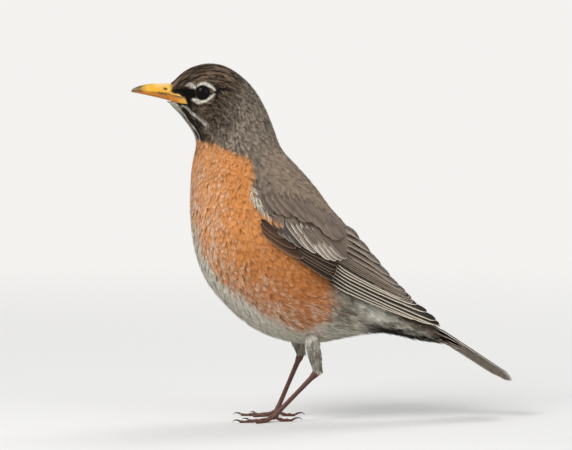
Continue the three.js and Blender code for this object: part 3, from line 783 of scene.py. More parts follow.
def makeVaneGroup():
    # the barbs of a vane: lines slanting out from the shaft, and a mottled tone
    inputs = {"Barbs": 40.0, "Slant": 0.6, "Wander": 0.5}
    group, given, made = startGroup("vaneDetail", inputs, ("Barb", "Mottle"))
    uv = group.nodes.new("ShaderNodeUVMap")
    uv.uv_map = "vane"
    apart = group.nodes.new("ShaderNodeSeparateXYZ")
    group.links.new(uv.outputs[0], apart.inputs[0])
    side = maths(group, "ABSOLUTE", maths(group, "MULTIPLY_ADD", apart.outputs[0], 2.0, -1.0))
    here = objectPlace(group)
    drift = maths(group, "MULTIPLY", noise(group, here, 600.0), given.outputs["Wander"])
    slant = maths(group, "MULTIPLY", given.outputs["Slant"], -1.0)
    slanted = maths(group, "MULTIPLY_ADD", side, slant, apart.outputs[1])
    phase = maths(group, "ADD", maths(group, "MULTIPLY", slanted, given.outputs["Barbs"]), drift)
    wave = maths(group, "SINE", maths(group, "MULTIPLY", phase, 2 * math.pi))
    barb = maths(group, "MULTIPLY_ADD", wave, 0.5, 0.5)
    wire(group, made, Barb=barb, Mottle=noise(group, here, 260.0, 3.0))
    return group


vaneGroup = makeVaneGroup()


def plumageMaterial(name, cfg):
    material, tree, shader = startMaterial(name)
    detail = addGroup(tree, vaneGroup, Barbs=cfg["barbs"], Slant=cfg["slant"], Wander=cfg["wander"])
    barb = detail.outputs["Barb"]
    tone = maths(tree, "MULTIPLY_ADD", attribute(tree, "tone"), cfg["toneDepth"], 1.0)
    lined = maths(tree, "MULTIPLY_ADD", barb, cfg["barbDepth"], 1.0 - cfg["barbDepth"] / 2)
    mottled = maths(tree, "MULTIPLY_ADD", detail.outputs["Mottle"], cfg["mottle"], 1.0 - cfg["mottle"] / 2)
    value = maths(tree, "MULTIPLY", maths(tree, "MULTIPLY", tone, lined), mottled)
    value = maths(tree, "MAXIMUM", value, 0.15)
    shading = tree.nodes.new("ShaderNodeHueSaturation")
    wire(tree, shading, Color=attribute(tree, "markings", "Color"), Value=value)
    wire(tree, shader, **{
        "Base Color": shading.outputs[0],
        "Roughness": ramp(tree, barb, 0.0, 1.0, cfg["roughness"] - 0.08, cfg["roughness"] + 0.06),
        "Sheen Weight": cfg["sheen"], "Sheen Roughness": 0.5, "Specular IOR Level": cfg["shine"],
        "Normal": bumpOf(tree, barb, cfg["bump"], 0.0002)})
    return material


softFeather = {
    "barbs": 9.0, "slant": 3.0, "wander": 0.6,
    "toneDepth": 0.16, "barbDepth": 0.25, "mottle": 0.4,        # how much each varies the colour
    "roughness": 0.75, "sheen": 0.02, "shine": 0.1, "bump": 0.4,
}
coatLooks = {
    # what each coat's feathers have of their own
    "crown": {"toneDepth": 0.34, "barbDepth": 0.3},
    "neck": {"toneDepth": 0.22},
    "breast": {"toneDepth": 0.07, "mottle": 0.25},
    "belly": {"toneDepth": 0.08, "mottle": 0.2},
    "mantle": {"toneDepth": 0.1, "mottle": 0.3},
    "rump": {"toneDepth": 0.18},
    "thigh": {"toneDepth": 0.2},
}
materials = {}
for name, own in coatLooks.items():
    materials[name] = plumageMaterial(name + "Feathers", {**softFeather, **own})
say("feather materials")


# the coat over the body

featherShapes = {
    "tiny": [featherShape(3, 100 + k, (0.0, 0.6), 0.13, 0.09, 0.7) for k in range(8)],
    "small": [featherShape(4, 200 + k, (0.0, 0.5, 0.83), 0.14, 0.08, 0.6) for k in range(8)],
    "body": [featherShape(7, 300 + k, (0.0, 0.5, 0.83), 0.18, 0.05) for k in range(10)],
    "loose": [featherShape(8, 400 + k, (0.0, 0.5, 0.83), 0.19, 0.11, 0.6) for k in range(10)],
}
around = bodyGuide["around"]
tipAhead = 5.0             # rows from a feather's root to about its tip
mantleEnd = 118            # behind the bill tip
solidCover = 16.0          # how far out a wing solid still hides the body
eyeRoom = 5.6              # nearer an eye than this, its own ring of feathers takes over


def hiddenBy(trees, surface, s, t, margin):
    # true where wing solids cover the place and all that is near it
    points = read(surface["points"], s, t)
    normals = unit(read(surface["normals"], s, t))
    rows, ring = unit(read(surface["rows"], s, t)), unit(read(surface["ring"], s, t))
    covered = np.ones(len(s), bool)
    for a, b in ((0, 0), (1, 0), (-1, 0), (0, 1), (0, -1)):
        for n in np.flatnonzero(covered):
            start = points[n] + (rows[n] * a + ring[n] * b) * margin
            tree = trees["left" if start[1] < 0 else "right"]
            hit = tree.ray_cast(Vector(start - normals[n]), Vector(normals[n]), solidCover)
            covered[n] = hit[0] is not None
    return covered


def upperEdge(x):
    # the lowest line that mantle and shoulder feathers reach over the wing, in side view
    return np.interp(x, [72.3, 89.2, 100.9, 105.1, 113.1, 118.0], [107.1, 107.6, 100.3, 95.6, 91.9, 98.0])


s, t = scatter(body, coatSettings, rng)
chin = fade(-np.cos(t / around * 2 * math.pi), 0.4, 0.8)
s = s - 1.8 * chin * (1 - fade(s, 0, 6))              # the chin's feathers reach onto the horn
x, z = sideView(read(body["points"], s + tipAhead, t))
shareAlong = s / (len(body["points"]) - 1)
upper = (x > xAt("shoulder", z)) & (z > upperEdge(x)) & (x < mantleEnd) & (shareAlong > 0.2)
hidden = hiddenBy(wingTrees, body, s, t, 4.0)
root = read(body["points"], s, t)
eyeGap = np.zeros(len(s), bool)
for node in nodesLike("eye"):
    middle = nodeMiddle(node)
    near = np.linalg.norm((root - middle) * [1, 0, 1], axis=-1) < eyeRoom
    eyeGap |= near & (root[:, 1] * middle[1] > 0)
wedge = bareHorn(*sideView(root), 0.1) > 0.5
keep = ~upper & ~hidden & ~eyeGap & ~wedge
low = np.cos(t / around * 2 * math.pi) < 0
onNeck = (x > xAt("shoulder", z)) & (shareAlong < 0.45) | (z > zAt("throatEnd", x))
region = np.select(
    [shareAlong < 0.085, shareAlong < 0.17, onNeck, x < xAt("white", z), x < xAt("shoulder", z), low],
    ["face", "head", "neck", "belly", "breast", "vent"], "rump")
fullCoat = coatOf(body, s, t, coatSettings, rng)
fullCoat["shadow"] *= np.where(np.isin(region, ("breast", "belly")), 0.3, 1)
fullCoat["fluff"] *= np.where(region == "breast", 0.6, 1)
looks = {
    # each region's feather shapes, material and slot
    "face": ("tiny", "crown", "crown_feathers"),
    "head": ("small", "crown", "crown_feathers"),
    "neck": ("body", "neck", "neck_feathers"),
    "belly": ("body", "belly", "belly_feathers"),
    "breast": ("body", "breast", "breast_feathers"),
    "vent": ("loose", "rump", "rump_feathers"),
    "rump": ("body", "rump", "rump_feathers"),
}
mostPoints = 200000        # a region with more points than this is made as two pieces
for name, (shapes, material, slot) in looks.items():
    own = keep & (region == name)
    sides = {"": own}
    if own.sum() * len(featherShapes[shapes][0]["tones"]) >= mostPoints:
        sides = {"Left": own & (t > around / 2), "Right": own & (t <= around / 2)}
    for side, chosen in sides.items():
        made = coatMesh(name + "Feathers" + side, body, pick(fullCoat, chosen), featherShapes[shapes],
                        materials[material], rng)
        print(made.name, int(chosen.sum()), "feathers", len(made.data.polygons), "faces")

# the mantle lies over the folded wings, with larger and flatter feathers
mantleSettings = {**coatSettings}
mantleTimes = {"spacing": 1.3, "length": 1.25, "half": 1.25, "depth": 0.5, "shadow": 0.5, "fluff": 0.7}
for key, times in mantleTimes.items():
    mantleSettings[key] = [times * value for value in coatSettings[key]]
s, t = scatter(dressed, mantleSettings, rng, 0.18, 0.75)
x, z = sideView(read(dressed["points"], s + tipAhead, t))
upper = (x > xAt("shoulder", z)) & (z > upperEdge(x)) & (x < mantleEnd)
coat = pick(coatOf(dressed, s, t, mantleSettings, rng), upper)
coatMesh("mantleFeathers", dressed, coat, featherShapes["body"], materials["mantle"], rng)


def tuftColours(p):
    white = shade["vent"] * (1 + 0.1 * speckle(p, 1.0, 51))[..., None]
    return white, white, 0 * p[..., 0]


# white tufts that stick out from under the breast's edge over the front of the wing
s, t = scatter(dressed, {**coatSettings, "spacing": [1.0] * 9}, rng, 0.2, 0.6)
x, z = sideView(read(dressed["points"], s, t))
coat = pick(coatOf(dressed, s, t, coatSettings, rng), stroke(x, z, "tufts", 0.4) > 0.5)
coat.update(length=0.72 * coat["length"], half=0.16 * coat["half"], depth=0 * coat["depth"],
            lift=1.0 + 0 * coat["lift"], shadow=0 * coat["shadow"],
            turn=np.clip(coat["turn"] * 4, -0.45, 0.45))
coatMesh("shoulderTufts", dressed, coat, featherShapes["small"], materials["breast"], rng,
         tuftColours)
say("coat")


# long feathers: vanes of slanted barbs, laid on the folded wing in side view

def vaneGrid(cfg, length, outer, inner, draw):
    # shares along and across of one vane: rows are barbs, columns run from outer to inner edge
    across = np.array([-1, -0.86, -0.72, -0.4, 0, 0.4, 0.72, 0.86, 1.0])
    roots = 1 - (1 - np.linspace(0, 1, cfg["barbs"])) ** 1.5
    slant = min(0.34, 0.9 * max(outer, inner) / length)
    clump = np.repeat(draw.uniform(-1, 1, (cfg["barbs"] // 3 + 1, 2)), 3, axis=0)[:cfg["barbs"]]
    r, w = np.meshgrid(roots, across, indexing="ij")
    ragged = np.where(w < 0, clump[:, :1], clump[:, 1:]) * np.abs(w) ** 3 * cfg["ragged"] / length
    reach = r + slant * (1 - r ** 2) * np.abs(w) ** 1.3 + ragged * (1 - r)
    roundFrom = 1 - cfg["roundness"] * (outer + inner) / length
    tip = np.clip((reach - roundFrom) / (1 - roundFrom), 0, 1)
    width = (0.45 + 0.55 * fade(reach, 0, 0.2)) * np.sqrt(np.maximum(1 - tip ** cfg["point"], 0.0))
    return reach, w, width * (1 + 0.03 * clump[:, :1]), r


def vaneColours(e, w, cfg, tone):
    # dark shaft, the two webs, and the pale fringe of the outer edge and tip
    outer, inner, centre, fringe = (linear(*web) for web in cfg["colours"])
    colour = blend(outer + 0 * e[..., None], inner, fade(w, -0.1, 0.15))
    colour = blend(colour, centre, (1 - fade(np.abs(w + 0.1), 0.0, 0.55)) * cfg["centreDepth"])
    edge = fade(-w, cfg["fringeFrom"], cfg["fringeFrom"] + 0.12) * cfg["fringeDepth"]
    edge = np.maximum(edge, fade(w, 0.78, 0.95) * cfg["innerFringe"])
    edge = np.maximum(edge, fade(e, 1 - cfg["tipFringe"], 1) * cfg["fringeDepth"])
    return blend(colour, fringe, np.clip(edge, 0, 1)) * tone


def longFeathers(name, feathers, cfg, place, material, draw):
    # a row of feathers as one mesh; place turns shares along, sideways steps and rises into points
    points, vane, bake, tones, colours, faces = [], [], [], [], [], []
    count = len(feathers)
    for k, feather in enumerate(feathers):
        e, w, width, r = vaneGrid(cfg, feather["length"], feather["outer"], feather["inner"], draw)
        side = np.where(w < 0, feather["outer"], feather["inner"]) * w * width
        camber = cfg["camber"] * (1 - (w * width) ** 2) - cfg["tilt"] * w
        lift = feather["liftTip"] - feather["liftRoot"]
        rise = feather["liftRoot"] + lift * fade(e, 0.05, 0.75) + camber
        rise = rise + 0.05 * draw.normal(0, 1, (len(e), 1)) * np.abs(w) ** 2
        made = place(feather, e, side, rise)
        base = sum(len(p) for p in points)
        points.append(made.reshape(-1, 3))
        faces.append(gridFaces(*e.shape) + base)
        vane.append(np.stack([0.5 + 0.5 * w, r], -1).reshape(-1, 2))
        bake.append(np.stack([(k + 0.5 + 0.46 * w) / count, 0.02 + 0.96 * r], -1).reshape(-1, 2))
        tones.append((0.5 * draw.normal() + 0.7 * draw.normal(0, 1, (len(e), 1)) + 0 * w).reshape(-1))
        light = through(np.array(cfg["shades"])[:, None], k / max(count - 1, 1))[0, 0]
        tone = light * (1 + cfg["varied"] * draw.normal())
        colours.append(vaneColours(e, w, cfg, tone).reshape(-1, 3))
        # the shaft, a slim raised ridge
        at = np.linspace(0.02, 0.97, 16)
        half = cfg["shaft"] * (1.1 - at)
        spine = np.stack([place(feather, at, half * s, np.interp(at, e[:, 4], rise[:, 4]) + up)
                          for s, up in ((-1, 0.02), (0, cfg["shaft"]), (1, 0.02))], 1)
        base += len(points[-1])
        points.append(spine.reshape(-1, 3))
        faces.append(gridFaces(*spine.shape[:2]) + base)
        at, column = np.meshgrid(at, np.arange(-1, 2), indexing="ij")
        vane.append(np.stack([0.5 + 0 * at, at], -1).reshape(-1, 2))
        bake.append(np.stack([(k + 0.5 + 0.01 * column) / count, 0.02 + 0.96 * at], -1).reshape(-1, 2))
        tones.append(np.zeros(at.size))
        colours.append(np.broadcast_to(linear(*cfg["shaftColour"]), (at.size, 3)))
    thing = addMesh(name, np.concatenate(points), [np.concatenate(faces)],
                    {"OFBake": np.concatenate(bake), "vane": np.concatenate(vane)},
                    {"tone": np.concatenate(tones)}, np.concatenate(colours), material)
    return thing


def fillGaps(field):
    # empty cells take the mean of the known ones beside them, until none is empty
    missing = np.isnan(field)
    while missing.any():
        wide = np.pad(field, 1, constant_values=np.nan)
        near = np.stack([wide[2:, 1:-1], wide[:-2, 1:-1], wide[1:-1, 2:], wide[1:-1, :-2]])
        known = ~np.isnan(near)
        total = np.where(known, near, 0).sum(0)
        field = np.where(missing & known.any(0), total / np.maximum(known.sum(0), 1), field)
        missing = np.isnan(field)
    return field


wingMap = {"low": (56.0, 40.0), "high": (174.0, 136.0), "step": 1.0, "passes": 8, "reach": 60.0}


def castWing(tree, cfg):
    # how far the folded wing's outer face lies from the middle plane, over a grid in side view
    xs = np.arange(cfg["low"][0], cfg["high"][0], cfg["step"])
    zs = np.arange(cfg["low"][1], cfg["high"][1], cfg["step"])
    out = np.full((len(xs), len(zs)), np.nan)
    for i, x in enumerate(xs):
        for j, z in enumerate(zs):
            hit = tree.ray_cast(Vector((x, -cfg["reach"], z)), Vector((0, 1, 0)), cfg["reach"])
            if hit[0] is not None:
                out[i, j] = cfg["reach"] - hit[3]
    out = fillGaps(out)
    for _ in range(cfg["passes"]):
        wide = np.pad(out, 1, mode="edge")
        out = (wide[2:, 1:-1] + wide[:-2, 1:-1] + wide[1:-1, 2:] + wide[1:-1, :-2] + out) / 5
    return out


wingOut = castWing(wingTrees["left"], wingMap)
wingSlope = np.gradient(wingOut, wingMap["step"])


def readMap(field, x, z):
    s = np.clip((x - wingMap["low"][0]) / wingMap["step"], 0, field.shape[0] - 1.001)
    t = np.clip((z - wingMap["low"][1]) / wingMap["step"], 0, field.shape[1] - 1.001)
    i, j = s.astype(int), t.astype(int)
    f, g = s - i, t - j
    near = field[i, j] * (1 - f) + field[i + 1, j] * f
    return near * (1 - g) + (field[i, j + 1] * (1 - f) + field[i + 1, j + 1] * f) * g


def onWing(u, v, lift):
    # the place on the left wing that is seen at u, v, lifted off it
    y = readMap(wingOut, u, v)
    for _ in range(4):
        y = readMap(wingOut, u - lean["ahead"] * y, v + lean["above"] * y)
    x, z = u - lean["ahead"] * y, v + lean["above"] * y
    slopeX, slopeZ = (readMap(slope, x, z) for slope in wingSlope)
    normal = unit(np.stack([-slopeX, -np.ones_like(x), -slopeZ], -1))
    return np.stack([x, -y, z], -1) + normal * np.asarray(lift)[..., None]


def placeOnWing(feather, e, side, rise):
    root, tip = np.array(feather["root"]), np.array(feather["tip"])
    way = unit(tip - root)
    up = np.array([-way[1], way[0]])
    up = up * np.sign(up[1])
    bow = feather["bow"] * 4 * e * (1 - e)
    at = root + (tip - root) * e[..., None] + up * (side + bow)[..., None]
    made = onWing(at[..., 0], at[..., 1], rise)
    made[..., 1] *= feather["hand"]
    return made


longFeather = {
    "barbs": 40, "ragged": 0.9,          # rows of a vane and how frayed its edge is
    "roundness": 0.8, "point": 2.2,      # how far back the tip narrows, and how bluntly
    "camber": 0.10, "tilt": 0.34,        # how the webs curve and slope
    "varied": 0.05, "astray": 0.25,      # how much the feathers differ in tone and in place
    "shaft": 0.16, "shaftColour": (58, 44, 34),
    "centreDepth": 0.5, "fringeFrom": 0.7, "fringeDepth": 0.85, "innerFringe": 0.06, "tipFringe": 0.03,
    "shades": [1.0, 1.0],                # how light, from the first feather to the last
}

wingGroups = {
    # root and tip lines in side view run from the first feather to the last, and so do the pairs of
    # widths and lifts; the colours are those of the outer web, the inner web, the centre and the fringe
    "primaries": {
        **longFeather, "count": 7, "slot": "flight_feathers", "look": "flight", "bow": -0.8,
        "roots": [(104.5, 72.6), (105.8, 84.4)],
        "tips": [(152.3, 52.2), (157.1, 50.8), (161.3, 49.4), (163.9, 48.7), (161.3, 51.3), (157.1, 54.8),
                 (152.8, 58.0), (148.6, 60.6), (144.3, 62.8)],
        "outer": (1.7, 1.9), "inner": (2.4, 1.6), "liftRoot": (-0.9, -0.5), "liftTip": (0.0, 0.65),
        "colours": [(25, 17, 12), (20, 14, 10), (17, 12, 9), (244, 230, 206)],
        "roundness": 1.4, "point": 1.6, "fringeFrom": 0.68, "fringeDepth": 1.0, "tipFringe": 0.012,
    },
    "secondaries": {
        **longFeather, "count": 7, "slot": "flight_feathers", "look": "flight", "bow": -0.4,
        "roots": [(105.8, 84.4), (101.2, 94.7)],
        "tips": [(148.5, 61.2), (142.0, 67.6)],
        "outer": (1.4, 1.5), "inner": (2.0, 1.6), "liftRoot": (-0.8, -0.6), "liftTip": (0.7, 1.0),
        "colours": [(90, 74, 61), (34, 25, 19), (26, 19, 14), (186, 168, 147)],
        "fringeFrom": 0.72,
    },
    "tertials": {
        **longFeather, "count": 5, "slot": "flight_feathers", "look": "flight", "bow": 0.8,
        "roots": [(103.0, 93.5), (106.5, 98.0), (110.0, 102.2)],
        "tips": [(140.4, 68.6), (135.8, 74.4), (130.8, 80.8), (125.4, 87.4), (119.4, 93.4)],
        "outer": (1.9, 2.4), "inner": (1.5, 1.7), "liftRoot": (-0.7, -0.6), "liftTip": (1.0, 1.3),
        "colours": [(142, 124, 108), (104, 88, 75), (62, 49, 40), (196, 178, 160)],
        "roundness": 1.7, "point": 1.5, "centreDepth": 0.75, "fringeDepth": 0.8, "fringeFrom": 0.76,
    },
    "primaryCoverts": {
        **longFeather, "count": 7, "slot": "wing_coverts", "look": "covert", "bow": -0.4,
        "roots": [(84.0, 88.4), (88.6, 94.6)],
        "tips": [(106.2, 73.4), (110.0, 84.2)],
        "outer": (1.2, 1.3), "inner": (2.2, 2.2), "liftRoot": (-0.7, -0.5), "liftTip": (0.4, 0.8),
        "colours": [(66, 49, 37), (34, 25, 18), (24, 17, 12), (150, 130, 110)],
        "roundness": 1.3, "point": 1.7,
    },
    "alula": {
        **longFeather, "count": 3, "slot": "wing_coverts", "look": "covert", "bow": -0.9,
        "roots": [(68.4, 100.6), (68.0, 103.0), (68.2, 105.4)],
        "tips": [(90.2, 84.9), (86.6, 89.6), (80.6, 95.4)],
        "outer": (2.2, 1.5), "inner": (2.6, 1.8), "liftRoot": (-0.4, 0.0), "liftTip": (0.6, 1.0),
        "colours": [(94, 66, 48), (64, 45, 34), (34, 24, 18), (196, 164, 136)],
        "roundness": 1.6, "point": 1.5, "fringeFrom": 0.84,
    },
    "greaterCoverts": {
        **longFeather, "count": 10, "slot": "wing_coverts", "look": "covert", "bow": -0.6,
        "roots": [(73.0, 104.6), (79.0, 105.2), (85.0, 106.0), (91.0, 104.8), (98.6, 101.6)],
        "tips": [(81.2, 95.8), (90.2, 90.2), (98.8, 87.0), (106.2, 83.2), (112.2, 84.2)],
        "outer": (1.2, 2.6), "inner": (1.8, 3.8), "liftRoot": (-0.5, -0.5), "liftTip": (0.8, 1.5),
        "colours": [(156, 143, 130), (122, 107, 94), (82, 68, 57), (232, 221, 206)],
        "roundness": 1.1, "point": 1.8, "centreDepth": 0.55, "fringeFrom": 0.76, "innerFringe": 0.0,
        "varied": 0.1, "shades": [0.45, 0.5, 0.6, 1.0, 1.25, 1.3, 1.3, 1.2, 0.8],
    },
    "scapulars": {
        **longFeather, "count": 13, "slot": "wing_coverts", "look": "covert", "bow": -0.3,
        "roots": [(68.6, 119.0), (80.0, 119.0), (92.0, 116.0), (103.0, 109.0)],
        "tips": [(74.8, 108.6), (84.4, 107.0), (94.0, 102.8), (102.4, 98.6), (108.4, 93.2), (112.6, 94.6)],
        "outer": (2.2, 2.8), "inner": (2.2, 2.8), "liftRoot": (0.1, 0.1), "liftTip": (1.1, 1.7),
        "colours": [(132, 115, 101), (120, 103, 89), (80, 66, 55), (174, 156, 140)],
        "fringeDepth": 0.5, "fringeFrom": 0.8, "barbs": 30, "ragged": 1.8, "shaft": 0.08,
        "astray": 0.9, "varied": 0.09,
    },
}
materials["flight"] = plumageMaterial("flightFeathers", {
    **softFeather, "barbs": 90.0, "slant": 0.0, "wander": 0.25, "toneDepth": 0.05, "barbDepth": 0.1,
    "mottle": 0.25, "roughness": 0.5, "sheen": 0.0, "shine": 0.25, "bump": 0.3})
materials["covert"] = plumageMaterial("covertFeathers", {
    **softFeather, "barbs": 40.0, "slant": 0.0, "wander": 0.3, "toneDepth": 0.06, "barbDepth": 0.14,
    "mottle": 0.35, "roughness": 0.6, "sheen": 0.0, "shine": 0.2, "bump": 0.4})


def addWing(hand, sideName):
    for name, cfg in wingGroups.items():
        draw = np.random.default_rng(40 + sum(map(ord, name)))       # the two wings mirror each other
        share = np.linspace(0, 1, cfg["count"])
        roots, tips = through(cfg["roots"], share), through(cfg["tips"], share)
        feathers = []
        for k, t in enumerate(share):
            tip = tips[k] + draw.normal(0, cfg["astray"], 2)
            row = {"root": roots[k], "tip": tip, "length": float(np.linalg.norm(tip - roots[k])),
                   "bow": cfg["bow"], "hand": hand}
            for key in ("outer", "inner", "liftRoot", "liftTip"):
                row[key] = cfg[key][0] + (cfg[key][1] - cfg[key][0]) * t
            feathers.append(row)
        longFeathers(name + sideName, feathers, cfg, placeOnWing, materials[cfg["look"]], draw)


def smoothCopy(names, voxel, grow, passes):
    # one smooth closed surface over some of the solids, made in millimetres
    scratch = bmesh.new()
    for name in names:
        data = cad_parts[name].data
        made = [scratch.verts.new(p) for p in nodePoints(name)]
        for polygon in data.polygons:
            scratch.faces.new([made[i] for i in polygon.vertices])
    bmesh.ops.remove_doubles(scratch, verts=scratch.verts, dist=1e-3)
    bmesh.ops.recalc_face_normals(scratch, faces=scratch.faces)
    scratch.normal_update()
    for vert, normal in [(vert, vert.normal.copy()) for vert in scratch.verts]:
        vert.co += normal * grow
    data = bpy.data.meshes.new("scratch")
    scratch.to_mesh(data)
    scratch.free()
    thing = bpy.data.objects.new("scratch", data)
    bpy.context.scene.collection.objects.link(thing)
    remesh = thing.modifiers.new("remesh", "REMESH")
    remesh.mode, remesh.voxel_size = "VOXEL", voxel
    done = thing.evaluated_get(bpy.context.evaluated_depsgraph_get()).to_mesh()
    flat = np.zeros(len(done.vertices) * 3, np.float32)
    done.vertices.foreach_get("co", flat)
    points = flat.reshape(-1, 3).astype(float)
    faces = np.array([f.vertices[:] for f in done.polygons], np.int32)
    bpy.data.objects.remove(thing)
    bpy.data.meshes.remove(data)
    pairs = np.concatenate([faces[:, [k, (k + 1) % 4]] for k in range(4)])
    for _ in range(passes):
        total, count = np.zeros_like(points), np.zeros(len(points))
        np.add.at(total, pairs[:, 0], points[pairs[:, 1]])
        np.add.at(count, pairs[:, 0], 1)
        points = 0.4 * points + 0.6 * total / np.maximum(count, 1)[:, None]
    corners = points[faces]
    flatNormals = np.cross(corners[:, 2] - corners[:, 0], corners[:, 3] - corners[:, 1])
    normals = np.zeros_like(points)
    for k in range(4):
        np.add.at(normals, faces[:, k], flatNormals)
    return points, faces, unit(normals)


def largestPart(points, faces, normals):
    # the greatest of the surfaces that aren't joined, found by spreading the least number over each
    label, before = np.arange(len(points)), None
    while before is None or (label != before).any():
        before, least = label, label[faces].min(1)
        label = label.copy()
        for k in range(4):
            np.minimum.at(label, faces[:, k], least)
        label = label[label]
    keep = label == np.bincount(label).argmax()
    order = np.cumsum(keep) - 1
    return points[keep], order[faces[keep[faces[:, 0]]]], normals[keep]


def addWingBase(sideName, nodes):
    # what lies under the laid feathers: dark as the inner webs, grey-brown like the back on the inside
    points, faces, normals = largestPart(*smoothCopy(nodes, 1.0, 0.3, 3))
    outwards = normals[:, 1] * np.sign(points[:, 1])
    points = points - normals * (1.1 * fade(outwards, -0.5, 0.3) - 0.2)[:, None]
    count = len(points)
    uv = np.stack([(points[:, 0] - 50) / 130, (points[:, 2] - 40) / 100], -1)
    x, z = sideView(points)
    upwards = np.maximum(normals[:, 2], 0)
    likeBack = np.maximum(fade(z - upperEdge(x), -3, 1), fade(0.8 * upwards - outwards, -0.1, 0.4))
    colours = blend(linear(30, 22, 17) + 0 * points, markings(points)[0] * 0.75, likeBack)
    base = addMesh("wingBase" + sideName, points, [faces], {"OFBake": uv, "vane": uv * 20 % 1},
                   {"tone": np.zeros(count)}, colours, materials["covert"])
    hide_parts(*nodes)


for hand, sideName, start in ((1, "Left", "wing_left"), (-1, "Right", "wing_right")):
    addWing(hand, sideName)
    addWingBase(sideName, nodesLike(start))
say("folded wings")


# tail

tailCfg = {
    **longFeather, "barbs": 56, "slope": 0.594, "dip": 1.6, "rayStep": 0.25, "above": 5.0, "flatFall": 0.16,
    "roundness": 0.55, "point": 2.4, "camber": 0.22, "tilt": 0.0, "shaft": 0.28, "shaftColour": (46, 36, 29),
    "colours": [(134, 115, 100), (88, 73, 62), (64, 52, 43), (230, 216, 200)],
    "centreDepth": 0.45, "fringeFrom": 0.62, "fringeDepth": 0.8, "tipFringe": 0.02, "innerFringe": 0.1,
    "varied": 0.04,
}


tailAlong = np.array([math.cos(tailCfg["slope"]), 0, -math.sin(tailCfg["slope"])])
tailUp = np.array([math.sin(tailCfg["slope"]), 0, math.cos(tailCfg["slope"])])


def placeOnTail(feather, e, side, rise):
    a = feather["from"] + feather["length"] * e
    low, high, top, fall = (np.interp(a, feather["stations"][0], row) for row in feather["stations"][1:])
    b = high + (low - high) * (side + feather["outer"]) / (feather["outer"] + feather["inner"])
    rise = rise - tailCfg["dip"] * (1 - fade(e, 0.05, 0.35))          # the roots dip under the tail coverts
    return (a[..., None] * tailAlong + (top - fall * (b - low) + rise)[..., None] * tailUp
            + (b * feather["hand"])[..., None] * np.array([0, 1, 0]))


def tailStations(name, hand, cfg):
    # rows of [along, inner edge, outer edge, height at the inner edge, fall outwards] of one solid
    points = nodePoints(name)
    a, b, c = points @ tailAlong, points[:, 1] * hand, points @ tailUp
    top = c.max() + cfg["above"]
    tree = nodeTree([name])
    rows = []
    for s in np.linspace(a.min() + 0.5, a.max() - 0.05, 30):
        hits = []
        for y in np.arange(b.min(), b.max(), cfg["rayStep"]):
            start = tailAlong * s + tailUp * top + np.array([0, y * hand, 0])
            hit = tree.ray_cast(Vector(start), Vector(-tailUp), 60.0)
            if hit[0] is not None:
                hits.append((y, top - hit[3]))
        if hits:
            hits = np.array(hits)
            fall = -np.polyfit(hits[:, 0], hits[:, 1], 1)[0] if len(hits) > 3 else cfg["flatFall"]
            rows.append((s, hits[0, 0] - 0.1, hits[-1, 0] + 0.1, hits[0, 1], fall))
    return np.array(rows)


def addTail(cfg):
    for hand, sideName in ((-1, "Left"), (1, "Right")):
        feathers = []
        names = nodesLike("tail_" + sideName.lower())
        for k, name in enumerate(sorted(names)):
            stations = tailStations(name, hand, cfg).T
            a, inside, outside = stations[:3]
            width = outside.max() - inside.min()
            outerShare = 0.42 - 0.05 * k
            feathers.append({"stations": stations, "from": a[0], "length": a[-1] - a[0] + 0.2, "hand": hand,
                             "outer": width * outerShare, "inner": width * (1 - outerShare),
                             "liftRoot": -0.1, "liftTip": 0.1})
        draw = np.random.default_rng(77)
        tail = longFeathers("tailFeathers" + sideName, feathers, cfg, placeOnTail, materials["flight"],
                            draw)
        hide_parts(*names)


addTail(tailCfg)
say("tail")


# thighs: short grey feathers down the upper leg

thighCfg = {
    "share":   [0.0, 0.35, 0.7, 1.0],
    "spacing": [1.9, 1.7, 1.25, 0.9],
    "length":  [8.0, 7.5, 5.0, 2.6],
    "half":    [1.7, 1.6, 1.0, 0.6],
    "depth":   [0.8, 0.8, 0.6, 0.3],
    "lift":    [0.10, 0.15, 0.12, 0.05],
    "fluff":   [0.3, 0.3, 0.2, 0.1],
    "shadow":  [0.35, 0.35, 0.3, 0.2],
    "loose":   [0.3, 0.3, 0.3, 0.3],
    "slim":    [0.25, 0.66, 0.90, 1.1],      # the feathered leg's girth against the solid's
    "stray": 0.14,
    "up": 23.0, "down": 0.3,                 # how far the leg is dressed above and below its lower end
    "inwards": 4.0,                          # how far the top goes in under the belly
    "deepest": 9.0,                          # roots deeper than this in the body are left out
    "rows": 60, "around": 48, "reach": 30.0,
}


def castThigh(name, cfg):
    points = nodePoints(name)
    low = points[points[:, 2] < points[:, 2].min() + 0.6].mean(0)
    way = unit(points.mean(0) - low)
    start, end = low + way * cfg["up"], low - way * cfg["down"]
    share = np.linspace(0, 1, cfg["rows"])[:, None]
    centre = start + (end - start) * share
    side = unit(np.array([0.0, 1.0, 0.0]) - way * way[1])
    ahead, aside = (np.broadcast_to(v, centre.shape) for v in (np.cross(side, way), side))
    surface = castSurface(centre, ahead, aside, cfg["around"], cfg["reach"], nodeTree([name]), 4)
    slim = np.interp(share[:, 0], cfg["share"], cfg["slim"])[:, None, None]
    surface["points"] = centre[:, None] + (surface["points"] - centre[:, None]) * slim
    surface["ring"] = surface["ring"] * slim
    surface["points"][..., 1] -= np.sign(low[1]) * cfg["inwards"] * (1 - fade(share, 0.0, 0.4))
    return surface


def depthInBody(point):
    nearest, normal = fleshTree.find_nearest(Vector(point))[:2]
    return (nearest - Vector(point)).dot(normal)


